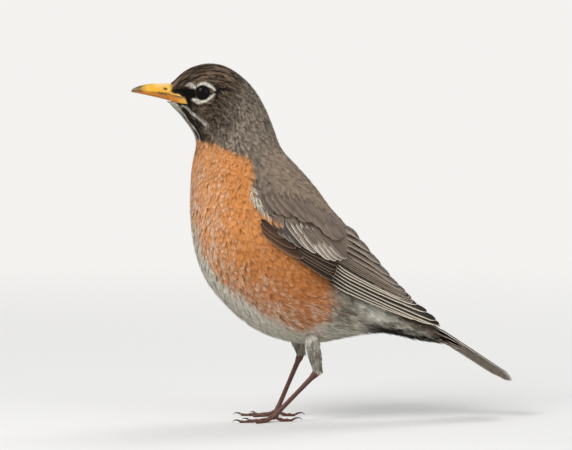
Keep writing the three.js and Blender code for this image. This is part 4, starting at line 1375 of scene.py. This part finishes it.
def thighMarkings(p):
    # pale among the belly's feathers, streaked with brown down the leg
    streak = fade(speckle(p * [1, 1, 0.3], 1.1, 21), -0.2, 0.3)
    base = blend(shade["thigh"], shade["thighEdge"], 0.15 + 0.6 * streak)
    base = blend(base, shade["belly"], 0.7 * fade(p[..., 2], 36, 44))
    return base, shade["thighEdge"] + 0 * base, 0.7 + 0 * p[..., 0]


thighs = {name: castThigh(name, thighCfg) for name in nodesLike("thigh")}
for name, surface in thighs.items():
    s, t = scatter(surface, thighCfg, rng, 0.0, 0.985)
    inside = np.array([depthInBody(p) > thighCfg["deepest"] for p in read(surface["points"], s, t)])
    coat = pick(coatOf(surface, s, t, thighCfg, rng), ~inside)
    title = "thighFeathers" + name.split("_")[1].capitalize()
    coatMesh(title, surface, coat, featherShapes["small"], materials["thigh"], rng,
             thighMarkings, lambda uv: np.stack([uv[:, 0] * 0.4, 0.88 + 0.11 * uv[:, 1]], -1))
say("thighs")


# the bill: an upper and a lower horn that meet along the cutting edge and run back to the gape

billCfg = {
    # stations behind the tip, the heights of the culmen, cutting edge and lower edge, and the half widths
    "station": [0.0, 1.2, 4.0, 9.0, 15.0, 21.0, 25.5, 29.2],
    "culmen": [173.4, 174.3, 175.4, 176.4, 176.7, 176.4, 175.2, 173.4],
    "edge":   [172.4, 172.8, 172.7, 172.3, 171.6, 170.7, 169.4, 166.8],
    "keel":   [172.2, 172.1, 171.5, 170.4, 169.0, 167.5, 166.3, 165.2],
    "half":   [0.15, 0.75, 1.35, 2.2, 3.0, 4.1, 5.4, 7.2],
    "rows": 110, "around": 34, "gap": 0.05, "proud": 0.16, "sunk": 0.8, "buriedFrom": 18.6,
    "nostril": {"station": 17.6, "height": 173.9, "length": 1.9, "tall": 0.95, "depth": 0.7},
    # the pale colour is a painted highlight on the upper horn
    "upper": (250, 190, 48), "lower": (210, 130, 12), "dusk": (66, 50, 42), "pale": (252, 222, 160),
    # the nostril's dark colour is painted shade
    "line": (50, 28, 14), "gape": (236, 184, 70), "hole": (40, 18, 8),
}


def billRow(key, x):
    shares = np.linspace(0, 1, len(billCfg["station"]))
    return through(np.array(billCfg[key])[:, None], np.interp(x, billCfg["station"], shares))[:, 0]


def hornColours(ring, ridge, x, upper):
    # golden horn with a painted highlight along its ridge, dusky at the tip, with a broken dark line along
    # the cutting edge
    cfg = billCfg
    fine, patch = speckle(ring, 1.1, 31), speckle(ring, 3.0, 35)
    colour = linear(*cfg["upper" if upper else "lower"]) * (1 + 0.07 * patch + 0.04 * fine)[..., None]
    x = x[:, None]
    # painted highlight: a paler band along the upper horn's ridge behind the middle
    pale = fade(x, 10, 14) * (1 - fade(x, 17, 21)) * fade(ridge, 0.45, 0.9) * (0.75 if upper else 0.0)
    colour = blend(colour, linear(*cfg["pale"]), np.clip(pale * (1 + 0.3 * patch), 0, 1))
    colour = blend(colour, linear(*cfg["gape"]), fade(x, 22, 26) * 0.8 + 0 * ridge)
    duskEnd = 9.0 if upper else 3.0
    dusk = (1 - fade(x, 2.2, duskEnd)) * (0.7 + 0.6 * ridge)
    dusk = dusk + 0.4 * (1 - fade(x, 5, 14)) * fade(ridge, 0.8, 1.0)
    dusk = np.clip(dusk * (0.95 + 0.35 * fine), 0, 0.92) * (1.0 if upper else 0.7)
    colour = blend(colour, linear(*cfg["dusk"]), dusk)
    broken = fade(speckle(ring * [0.6, 0.0, 0.0] + ring[..., 2:] * [0.4, 1.2, 0], 1.3, 33), -0.1, 0.25)
    near = np.maximum(1 - fade(x, 4, 7), 0.8 * fade(x, 9, 11) * (1 - fade(x, 24, 28)))
    line = (1 - fade(ridge, 0.03, 0.20)) * np.maximum(broken, 0.25) * near
    return blend(colour, linear(*cfg["line"]), np.clip(line, 0, 0.9))


def sideOf(x, z):
    # how far the head reaches to the side at each place of the middle plane
    reach = 30.0
    starts = [Vector((a, -reach, b)) for a, b in zip(x.ravel(), z.ravel())]
    hits = [fleshTree.ray_cast(start, Vector((0, 1, 0)), reach)[3] for start in starts]
    return np.array([reach - hit if hit else 0.0 for hit in hits]).reshape(x.shape)


def addBillHalf(name, upper):
    cfg = billCfg
    x = cfg["station"][-1] * np.linspace(0, 1, cfg["rows"]) ** 1.2
    edge, half = billRow("edge", x), billRow("half", x)
    peak = billRow("culmen" if upper else "keel", x)
    turn = np.linspace(0, math.pi, cfg["around"])
    c, ridge = np.cos(turn), np.sin(turn)
    rounding = 0.9 if upper else 0.75
    z = edge[:, None] + (cfg["gap"] if upper else -cfg["gap"]) + (peak - edge)[:, None] * ridge ** rounding
    x = x[:, None] + 0 * z
    free = (half[:, None] + 0 * z) * np.abs(c) ** (1.2 if upper else 1.0)
    # at the base the horn takes the head's width, proud of it only within the gape's bare wedge
    side = sideOf(x, z)
    u, v = sideView(np.stack([x, -side, z], -1))
    bare = bareHorn(u, v, 0.25)
    flush = (side - cfg["sunk"] + (cfg["sunk"] + cfg["proud"]) * bare) * np.minimum(np.abs(c) / 0.25, 1)
    buried = fade(x, cfg["buriedFrom"], cfg["buriedFrom"] + 1.6) * (side > 0)
    y = (free + (np.maximum(flush, 0) - free) * buried) * np.sign(c)
    points = np.stack([x, y, z], -1)
    nostril = cfg["nostril"]
    behind = x - nostril["station"]
    away = np.hypot(behind / nostril["length"], (z - nostril["height"] + 0.12 * behind) / nostril["tall"])
    points[..., 1] -= np.sign(y) * nostril["depth"] * (1 - fade(away, 0.45, 1.0)) * upper
    # the inner face closes the horn just within the cutting edge
    lip = 0.25 if upper else -0.25
    inner = np.stack([x, y * 0.8, edge[:, None] + lip + 0 * z], -1)[:, ::-1]
    ring = np.concatenate([points, inner], 1)
    count = ring.shape[1]
    colour = hornColours(ring, np.concatenate([ridge, 0 * ridge]) + 0 * ring[..., 0], x[:, 0], upper)
    # painted shade: the nostril's opening is coloured dark
    dark = np.concatenate([1 - fade(away, 0.4, 0.75), 0 * y], 1) * upper
    colour = blend(colour, linear(*cfg["hole"]), dark)
    uv = np.stack(np.meshgrid(np.linspace(0, 1, cfg["rows"]), np.linspace(0, 1, count), indexing="ij"), -1)
    faces = gridFaces(cfg["rows"], count, True)[:, slice(None) if upper else slice(None, None, -1)]
    horn = addMesh(name, ring.reshape(-1, 3), [faces], {"OFBake": uv.reshape(-1, 2) * 0.98 + 0.01}, None,
                   colour.reshape(-1, 3), materials["bill"])
    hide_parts("bill_upper" if upper else "bill_lower")


def makeGrainGroup():
    # fine streaks in horn and scaled skin: how dark, how rough and how high they lie
    inputs = {"Scale": 900.0, "Stretch": (1.0, 1.0, 1.0), "Roughness": 0.4}
    group, given, made = startGroup("hornGrain", inputs, ("Grain", "Roughness"))
    stretched = group.nodes.new("ShaderNodeVectorMath")
    stretched.operation = "MULTIPLY"
    wire(group, stretched, i0=objectPlace(group), i1=given.outputs["Stretch"])
    grain = noise(group, stretched.outputs[0], given.outputs["Scale"], 4.0)
    wear = maths(group, "MULTIPLY_ADD", ramp(group, grain, 0.3, 0.7), 0.16, -0.06)
    wire(group, made, Grain=grain, Roughness=maths(group, "ADD", given.outputs["Roughness"], wear))
    return group


grainGroup = makeGrainGroup()


def hornMaterial(name, cfg):
    material, tree, shader = startMaterial(name)
    detail = addGroup(tree, grainGroup, Scale=cfg["grain"], Stretch=cfg["streaks"],
                      Roughness=cfg["roughness"])
    colour = mix(tree, "MULTIPLY", cfg["depth"], attribute(tree, "markings", "Color"),
                 mix(tree, "MIX", detail.outputs["Grain"], (*cfg["darker"], 1), (1, 1, 1, 1)))
    wire(tree, shader, **{
        "Base Color": colour, "Roughness": detail.outputs["Roughness"],
        "Coat Weight": cfg["coat"], "Coat Roughness": 0.25,
        "Subsurface Weight": cfg["soft"], "Subsurface Radius": (0.0012, 0.0006, 0.0003),
        "Normal": bumpOf(tree, detail.outputs["Grain"], cfg["bump"], 0.0001)})
    return material


materials["bill"] = hornMaterial("billHorn", {
    "streaks": (0.35, 1.0, 1.0), "grain": 900.0, "depth": 0.4, "darker": (0.66, 0.5, 0.3),
    "roughness": 0.36, "coat": 0.15, "soft": 0.1, "bump": 0.25})
addBillHalf("billUpper", True)
addBillHalf("billLower", False)
say("bill")


# eyes and lids

eyeCfg = {
    "turnForward": 0.20,                                 # how far the eyes look ahead of straight out
    # the lid's rim from the ball outwards: [radius, out of the ball's middle]
    "rim": [(3.34, 3.40), (3.42, 3.60), (3.56, 3.70), (3.74, 3.58)],
    "columns": 96, "lid": (44, 38, 35), "iris": (24, 13, 9), "pupil": (5, 4, 4),
}


def eyeFrame(node):
    # the ball's middle, the way it looks, up, and across from the two
    middle = nodeMiddle(node)
    turn = eyeCfg["turnForward"]
    ahead = unit(np.array([-math.sin(turn), math.copysign(math.cos(turn), middle[1]), 0.0]))
    up = np.array([0.0, 0.0, 1.0])
    return middle, ahead, up, np.cross(up, ahead)


def ringTurns(count):
    return np.linspace(0, 2 * math.pi, count, endpoint=False)


def addEye(node):
    middle, ahead, up, across = eyeFrame(node)
    low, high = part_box(node)
    radius = (high.x - low.x) / 2 / mm
    rows, columns = 40, 64
    a, b = np.meshgrid(np.linspace(0, math.pi, rows), ringTurns(columns), indexing="ij")
    bulge = radius * (1 + 0.015 * np.exp(-(a / 0.5) ** 2))
    out = np.cos(b)[..., None] * across + np.sin(b)[..., None] * up
    points = middle + bulge[..., None] * (np.cos(a)[..., None] * ahead + np.sin(a)[..., None] * out)
    iris = fade(a, 0.40, 0.47) * (1 - fade(a, 0.66, 0.76))
    ray = 0.75 + 0.25 * np.sin(b * 31 + 2 * np.sin(b * 5))
    colour = blend(linear(*eyeCfg["pupil"]) + 0 * points, linear(*eyeCfg["iris"]), iris * ray)
    uv = 0.5 + 0.49 * (a / math.pi)[..., None] * np.stack([np.cos(b), np.sin(b)], -1)
    faces = gridFaces(rows, columns, True)
    eye = addMesh("eye" + node.split("_")[1].capitalize(), points.reshape(-1, 3), [faces],
                  {"OFBake": uv.reshape(-1, 2)}, None, colour.reshape(-1, 3), materials["eye"])
    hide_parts(node)


def orbitSurface(node):
    # the ring of skin and small feathers from the lid's rim out to the face
    middle, ahead, up, across = eyeFrame(node)
    cfg = orbitCfg
    r = np.linspace(cfg["inner"], cfg["outer"], cfg["rows"])[:, None]
    b = ringTurns(eyeCfg["columns"])[None]
    out = np.cos(b)[..., None] * across + np.sin(b)[..., None] * up
    # how far out the face lies round the orbit's outer edge, smoothed
    far = middle + cfg["outer"] * out[0] + cfg["clear"] * ahead
    skin = np.array([cfg["clear"] - bodyTree.ray_cast(Vector(p), Vector(-ahead), 30.0)[3] for p in far])
    for _ in range(6):
        skin = (np.roll(skin, 1) + np.roll(skin, -1) + 2 * skin) / 4
    rise = cfg["rim"] + (skin - cfg["rim"])[None] * fade(r, cfg["inner"], cfg["outer"])
    return surfaceFrom(middle + rise[..., None] * ahead + r[..., None] * out, ahead)


def lidPoints(node, orbit):
    # the lid from its rim out, puckered and drawn to a corner before and behind, then the orbit's skin
    middle, ahead, up, across = eyeFrame(node)
    b = ringTurns(eyeCfg["columns"])[None]
    rim = np.array(eyeCfg["rim"])
    wrinkle = 0.05 * np.sin(b * 24 + 1.5 * np.sin(b * 7)) * np.array([0, 0.2, 0.8, 1])[:, None]
    fromCorner = np.minimum(b, 2 * math.pi - b)
    corner = 0.3 * (np.exp(-((b - math.pi) / 0.25) ** 2) + np.exp(-(fromCorner / 0.3) ** 2))
    out = rim[:, :1] + corner * np.array([0, 0.4, 0.8, 0.9])[:, None]
    high = rim[:, 1:] + wrinkle - corner * 0.3
    oval = np.cos(b)[..., None] * across + 0.96 * np.sin(b)[..., None] * up
    lid = middle + high[..., None] * ahead + out[..., None] * oval
    return np.concatenate([lid, (orbit["points"] - orbitCfg["skinDepth"] * orbit["normals"])[2:]])


def eyeMaterial():
    material, tree, shader = startMaterial("eyeGloss")
    fleck = noise(tree, objectPlace(tree), 2500.0, 3.0)
    flecks = mix(tree, "MIX", fleck, (0.4, 0.4, 0.4, 1), (1, 1, 1, 1))
    wire(tree, shader, **{
        "Base Color": mix(tree, "MULTIPLY", 0.6, attribute(tree, "markings", "Color"), flecks),
        "Roughness": ramp(tree, fleck, 0.3, 0.7, 0.03, 0.06), "Specular IOR Level": 0.1})
    return material


materials["eye"] = eyeMaterial()
for node in nodesLike("eye"):
    addEye(node)


orbitCfg = {
    "inner": 3.7, "outer": 6.6, "rim": 3.56, "rows": 24,
    "clear": 12,                         # far enough out to be clear of the face
    "skinDepth": 0.3,
    "radii": (3.8, 4.0, 4.25, 4.5, 4.8, 5.1, 5.4, 5.7, 6.0),      # the rings of small feathers
    "length": 1.35, "half": 0.19,
    "coat": {"spacing": 0.3, "depth": 0.2, "lift": 0.12, "fluff": 0.06, "shadow": 0.15},
    "backward": (0.75, 0, -0.1),         # how much the feathers lean towards the tail
}


def addEyeRing(node, surface):
    # minute feathers round the lids, lying outwards and back
    cfg = orbitCfg
    radii, turns = [], []
    for radius in cfg["radii"]:
        count = int(2 * math.pi * radius / cfg["coat"]["spacing"])
        radii.append(np.full(count, radius) + rng.uniform(-0.1, 0.1, count))
        turns.append((np.arange(count) + rng.uniform(-0.3, 0.3, count)) / count)
    radii, turns = np.concatenate(radii), np.concatenate(turns) % 1
    s = (radii - cfg["inner"]) / (cfg["outer"] - cfg["inner"]) * (cfg["rows"] - 1)
    t = turns * eyeCfg["columns"]
    out, normal = unit(read(surface["rows"], s, t)), unit(read(surface["normals"], s, t))
    ways = out + np.array(cfg["backward"])
    turn = np.arctan2(np.sum(ways * np.cross(normal, out), -1), np.sum(ways * out, -1))
    count = len(s)
    grow = rng.normal(1, 0.1, count)
    coat = {"s": s, "t": t, "turn": turn, "bend": rng.normal(0, 0.05, count),
            "length": cfg["length"] * grow, "half": cfg["half"] * grow}
    for key, value in cfg["coat"].items():
        coat[key] = np.full(count, value)
    side = node.split("_")[1]
    start = 0.5 if side == "left" else 0.75
    coatMesh("eyeRing" + side.capitalize(), surface, coat, featherShapes["tiny"], materials["crown"],
             rng,
             bakeAt=lambda uv: np.stack([start + 0.2 * uv[:, 0], 0.88 + 0.1 * uv[:, 1]], -1))


bodyTree = BVHTree.FromPolygons(body["points"].reshape(-1, 3).tolist(),
                                gridFaces(*body["points"].shape[:2], True).tolist())
orbits = {node: orbitSurface(node) for node in nodesLike("eye")}
for node, surface in orbits.items():
    addEyeRing(node, surface)
say("eyes")


# legs: scaled skin over the shanks and toes, and horny claws

legCfg = {
    "voxel": 0.28, "join": 0.18, "passes": 4,
    "scute": 1.25, "scuteDepth": 0.11,       # the scutes' pitch along the toes and their height
    "plate": 3.6, "plateDepth": 0.05,        # the same for the plates down the shank
    "front": (102, 52, 34), "back": (80, 40, 27), "edge": (58, 28, 20), "pad": (140, 96, 66),
}
clawCfg = {"voxel": 0.16, "join": 0.05, "passes": 2, "horn": (40, 30, 26), "tip": (66, 52, 44)}


def skinOver(names, cfg, floor):
    # the solids' own surface made smooth and joined, kept above the floor
    points, faces, normals = smoothCopy(names, cfg["voxel"], cfg["join"], cfg["passes"])
    points = points - normals * cfg["join"]
    points[:, 2] = np.maximum(points[:, 2], floor)
    return points, faces, normals


def legParts(names, points):
    # each point's way along its own shank or toe, whether it is on a toe, and where the toes meet
    nearest = np.full(len(points), 1e9)
    share, toe = np.zeros(len(points)), np.zeros(len(points), bool)
    for name in names:
        own = nodePoints(name)
        onToe = not name.startswith("shank")
        if onToe:
            far = own[np.argmax(np.linalg.norm(own[:, :2] - joint[:2], axis=1))]
            base = np.array([joint[0], joint[1], 0.0])
            way = unit(np.array([far[0] - joint[0], far[1] - joint[1], 0.0]))
        else:
            joint = base = own[own[:, 2] < own[:, 2].min() + 2].mean(0)
            way = unit(own[own[:, 2] > own[:, 2].max() - 1].mean(0) - base)
        tree = nodeTree([name])
        away = np.array([(Vector(p) - tree.find_nearest(Vector(p))[0]).length for p in points])
        mine = away < nearest
        nearest[mine] = away[mine]
        share[mine] = ((points - base) @ way)[mine]
        toe[mine] = onToe
    return share, toe, joint


def addLeg(sideName):
    cfg = legCfg
    names = nodesLike("shank_" + sideName, "toe_" + sideName)
    points, faces, normals = skinOver(names, cfg, 0.0)
    share, toe, joint = legParts(names, points)
    top = np.where(toe, normals[:, 2], -normals[:, 0] * 0.9)
    pitch = np.where(toe, cfg["scute"], cfg["plate"])
    ring = np.abs(np.sin(math.pi * share / pitch)) ** 0.45
    onTop = fade(top, -0.1, 0.45)
    pads = np.where(toe, fade(-normals[:, 2], 0.1, 0.6), 0)
    cobble = speckle(points, 0.42, 41)
    height = np.where(toe, cfg["scuteDepth"], cfg["plateDepth"])
    rise = height * (ring - 0.7) * onTop + 0.03 * cobble * (1 - onTop)
    points = points + normals * rise[:, None]
    points[:, 2] = np.maximum(points[:, 2], 0.0)
    colour = blend(linear(*cfg["back"]) + 0 * points, linear(*cfg["front"]), onTop)
    colour = blend(colour, linear(*cfg["edge"]), (1 - fade(ring, 0.35, 0.8)) * onTop * 0.8)
    colour = blend(colour, linear(*cfg["pad"]), pads * 0.7)
    colour = colour * (1 + 0.12 * speckle(points, 1.7, 43) + 0.1 * cobble)[:, None]
    uv = np.stack([share / 40 % 1, np.arctan2(normals[:, 1], normals[:, 2]) / 6.3 + 0.5], -1)
    leg = addMesh("leg" + sideName.capitalize(), points, [faces], {"OFBake": uv}, None, colour,
                  materials["leg"])
    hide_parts(*names)
    for name in nodesLike("claw_" + sideName):
        addClaw(name, joint)


def addClaw(name, joint):
    points, faces, normals = skinOver([name], clawCfg, clawCfg["join"])
    away = np.linalg.norm(points[:, :2] - joint[:2], axis=1)
    toTip = fade(away, away.min(), away.max())
    colour = blend(linear(*clawCfg["horn"]) + 0 * points, linear(*clawCfg["tip"]), toTip)
    title = "claw" + "".join(word.capitalize() for word in name.split("_")[1:])
    uv = np.stack([toTip, normals[:, 1] / 2 + 0.5], -1)
    claw = addMesh(title, points, [faces], {"OFBake": uv}, None, colour, materials["claw"])
    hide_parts(name)


materials["leg"] = hornMaterial("legScales", {
    "streaks": (1.0, 1.0, 1.0), "grain": 1400.0, "depth": 0.5, "darker": (0.6, 0.52, 0.46),
    "roughness": 0.48, "coat": 0.05, "soft": 0.05, "bump": 0.5})
materials["claw"] = hornMaterial("clawHorn", {
    "streaks": (0.4, 0.4, 1.0), "grain": 1600.0, "depth": 0.4, "darker": (0.6, 0.55, 0.5),
    "roughness": 0.34, "coat": 0.2, "soft": 0.0, "bump": 0.3})
for sideName in ("left", "right"):
    addLeg(sideName)
say("legs and claws")


# the skin under the coat

skinCfg = {
    "bodyDark": 0.55, "thighDark": 0.7,      # the skin's colours against the feathers over it
    "billEnd": 1.5,                          # how far it is drawn in round the bill's base
    "thighDepth": 0.45,                      # how deep it lies under the leg's feathers
    "thighTop": 0.3,                         # its girth at the thigh's top
}


def skinPart(points, colours, corner, extent):
    # a ring surface's points, faces, colours and its place in the map for baking
    rows, columns = points.shape[:2]
    t, s = np.meshgrid(np.arange(columns) / columns, np.arange(rows) / rows)
    uv = np.array(corner) + np.array(extent) * np.stack([t, s], -1)
    flat = points.reshape(-1, 3)
    return flat, gridFaces(rows, columns, True), uv.reshape(-1, 2), colours + 0 * flat


def addSkin(cfg):
    rows = len(body["points"])
    depth = np.interp(np.linspace(0, 1, rows), coatSettings["share"], coatSettings["depth"])
    depth = (depth + cfg["billEnd"] * (1 - fade(np.arange(rows), 0, 3)))[:, None, None]
    colours = markings(body["points"].reshape(-1, 3))[0] * cfg["bodyDark"]
    pieces = [skinPart(body["points"] - body["normals"] * depth, colours, (0, 0.02), (1, 0.82))]
    for surface in thighs.values():
        made = surface["points"] - surface["normals"] * cfg["thighDepth"]
        slim = np.interp(np.linspace(0, 1, len(made)), [0, 0.45], [cfg["thighTop"], 1])[:, None, None]
        made = made.mean(1)[:, None] * (1 - slim) + made * slim
        colours = thighMarkings(made.reshape(-1, 3))[0] * cfg["thighDark"]
        pieces.append(skinPart(made, colours, (0, 0.88), (0.4, 0.11)))
    for node, orbit in orbits.items():
        pieces.append(skinPart(lidPoints(node, orbit), linear(*eyeCfg["lid"]), (0.5, 0.88), (0.4, 0.1)))
    bases = np.cumsum([0] + [len(piece[0]) for piece in pieces[:-1]])
    points, uv, colours = (np.concatenate([piece[k] for piece in pieces]) for k in (0, 2, 3))
    faces = np.concatenate([piece[1] + base for piece, base in zip(pieces, bases)])
    skin = addMesh("skin", points, [faces], {"OFBake": uv, "vane": uv * 50 % 1},
                   {"tone": np.zeros(len(points))}, colours, materials["skin"])
    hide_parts(*fleshNodes, *thighs)


materials["skin"] = plumageMaterial("skin", {
    **softFeather, "toneDepth": 0.0, "barbDepth": 0.1, "sheen": 0.0})
addSkin(skinCfg)
say("skin")


# floor and light

studio = {
    "paper": (0.60, 0.59, 0.57),          # what the floor gives back to the bird
    "seen": (0.90, 0.89, 0.87),           # how pale floor and wall look to the eye
    "fadeFrom": 0.22, "fadeTo": 1.3,      # metres from the bird, where the floor turns into the wall
    "half": 6000.0,                       # half the floor's width
    "skyColour": (0.95, 0.97, 1.0), "skyStrength": 0.42,
    # each lamp's place, size and power
    "lamps": {"keySoftbox": ((-900, -850, 1200), 900, 18), "fillSoftbox": ((900, -1200, 500), 1000, 4),
              "rimSoftbox": ((700, 900, 1200), 700, 6)},
    "aim": (60.0, 0.0, 100.0),
}


def showsWall(tree):
    # 1 for rays from the camera, and for those that a glossy or clear surface sends on
    path = tree.nodes.new("ShaderNodeLightPath")
    direct = maths(tree, "MAXIMUM", path.outputs["Is Camera Ray"], path.outputs["Is Glossy Ray"])
    return maths(tree, "MAXIMUM", direct, path.outputs["Is Transmission Ray"])


def floorMaterial(cfg):
    # a pale paper floor that keeps shadows near the bird and runs into the wall without a line
    material, tree, shader = startMaterial("floorPaper")
    seen = showsWall(tree)
    wire(tree, shader, **{"Base Color": mix(tree, "MIX", seen, (*cfg["paper"], 1), (*cfg["seen"], 1)),
                          "Roughness": 0.9, "Specular IOR Level": 0.1})
    away = tree.nodes.new("ShaderNodeVectorMath")
    away.operation = "LENGTH"
    wire(tree, away, i0=objectPlace(tree))
    far = maths(tree, "MULTIPLY", ramp(tree, away.outputs["Value"], cfg["fadeFrom"], cfg["fadeTo"]), seen)
    glow = tree.nodes.new("ShaderNodeEmission")
    wire(tree, glow, Color=(*cfg["seen"], 1))
    both = tree.nodes.new("ShaderNodeMixShader")
    wire(tree, both, i0=far, i1=shader.outputs[0], i2=glow.outputs[0])
    wire(tree, tree.nodes["Material Output"], Surface=both.outputs[0])
    return material


def addFloor(cfg):
    half = cfg["half"]
    floor = addMesh("floor", [(-half, -half, 0), (half, -half, 0), (half, half, 0), (-half, half, 0)],
                    [[(0, 1, 2, 3)]], material=floorMaterial(cfg))


def addWorld(cfg):
    world = bpy.data.worlds.new("studio")
    bpy.context.scene.world = world
    world.use_nodes = True
    tree = world.node_tree
    sky = tree.nodes["Background"]
    wire(tree, sky, Color=(*cfg["skyColour"], 1), Strength=cfg["skyStrength"])
    wall = tree.nodes.new("ShaderNodeBackground")
    wire(tree, wall, Color=(*cfg["seen"], 1))
    both = tree.nodes.new("ShaderNodeMixShader")
    wire(tree, both, i0=showsWall(tree), i1=sky.outputs[0], i2=wall.outputs[0])
    wire(tree, tree.nodes["World Output"], Surface=both.outputs[0])


def addLamp(name, place, size, power, aim):
    data = bpy.data.lights.new(name, "AREA")
    data.size, data.energy = size * mm, power
    lamp = bpy.data.objects.new(name, data)
    bpy.context.scene.collection.objects.link(lamp)
    lamp.location = Vector(toScene(place))
    lamp.rotation_euler = (lamp.location - Vector(toScene(aim))).to_track_quat("Z", "Y").to_euler()


addFloor(studio)
addWorld(studio)
for name, (place, size, power) in studio["lamps"].items():
    addLamp(name, place, size, power, studio["aim"])
bpy.context.scene.view_settings.view_transform = "Standard"
say("floor and light")
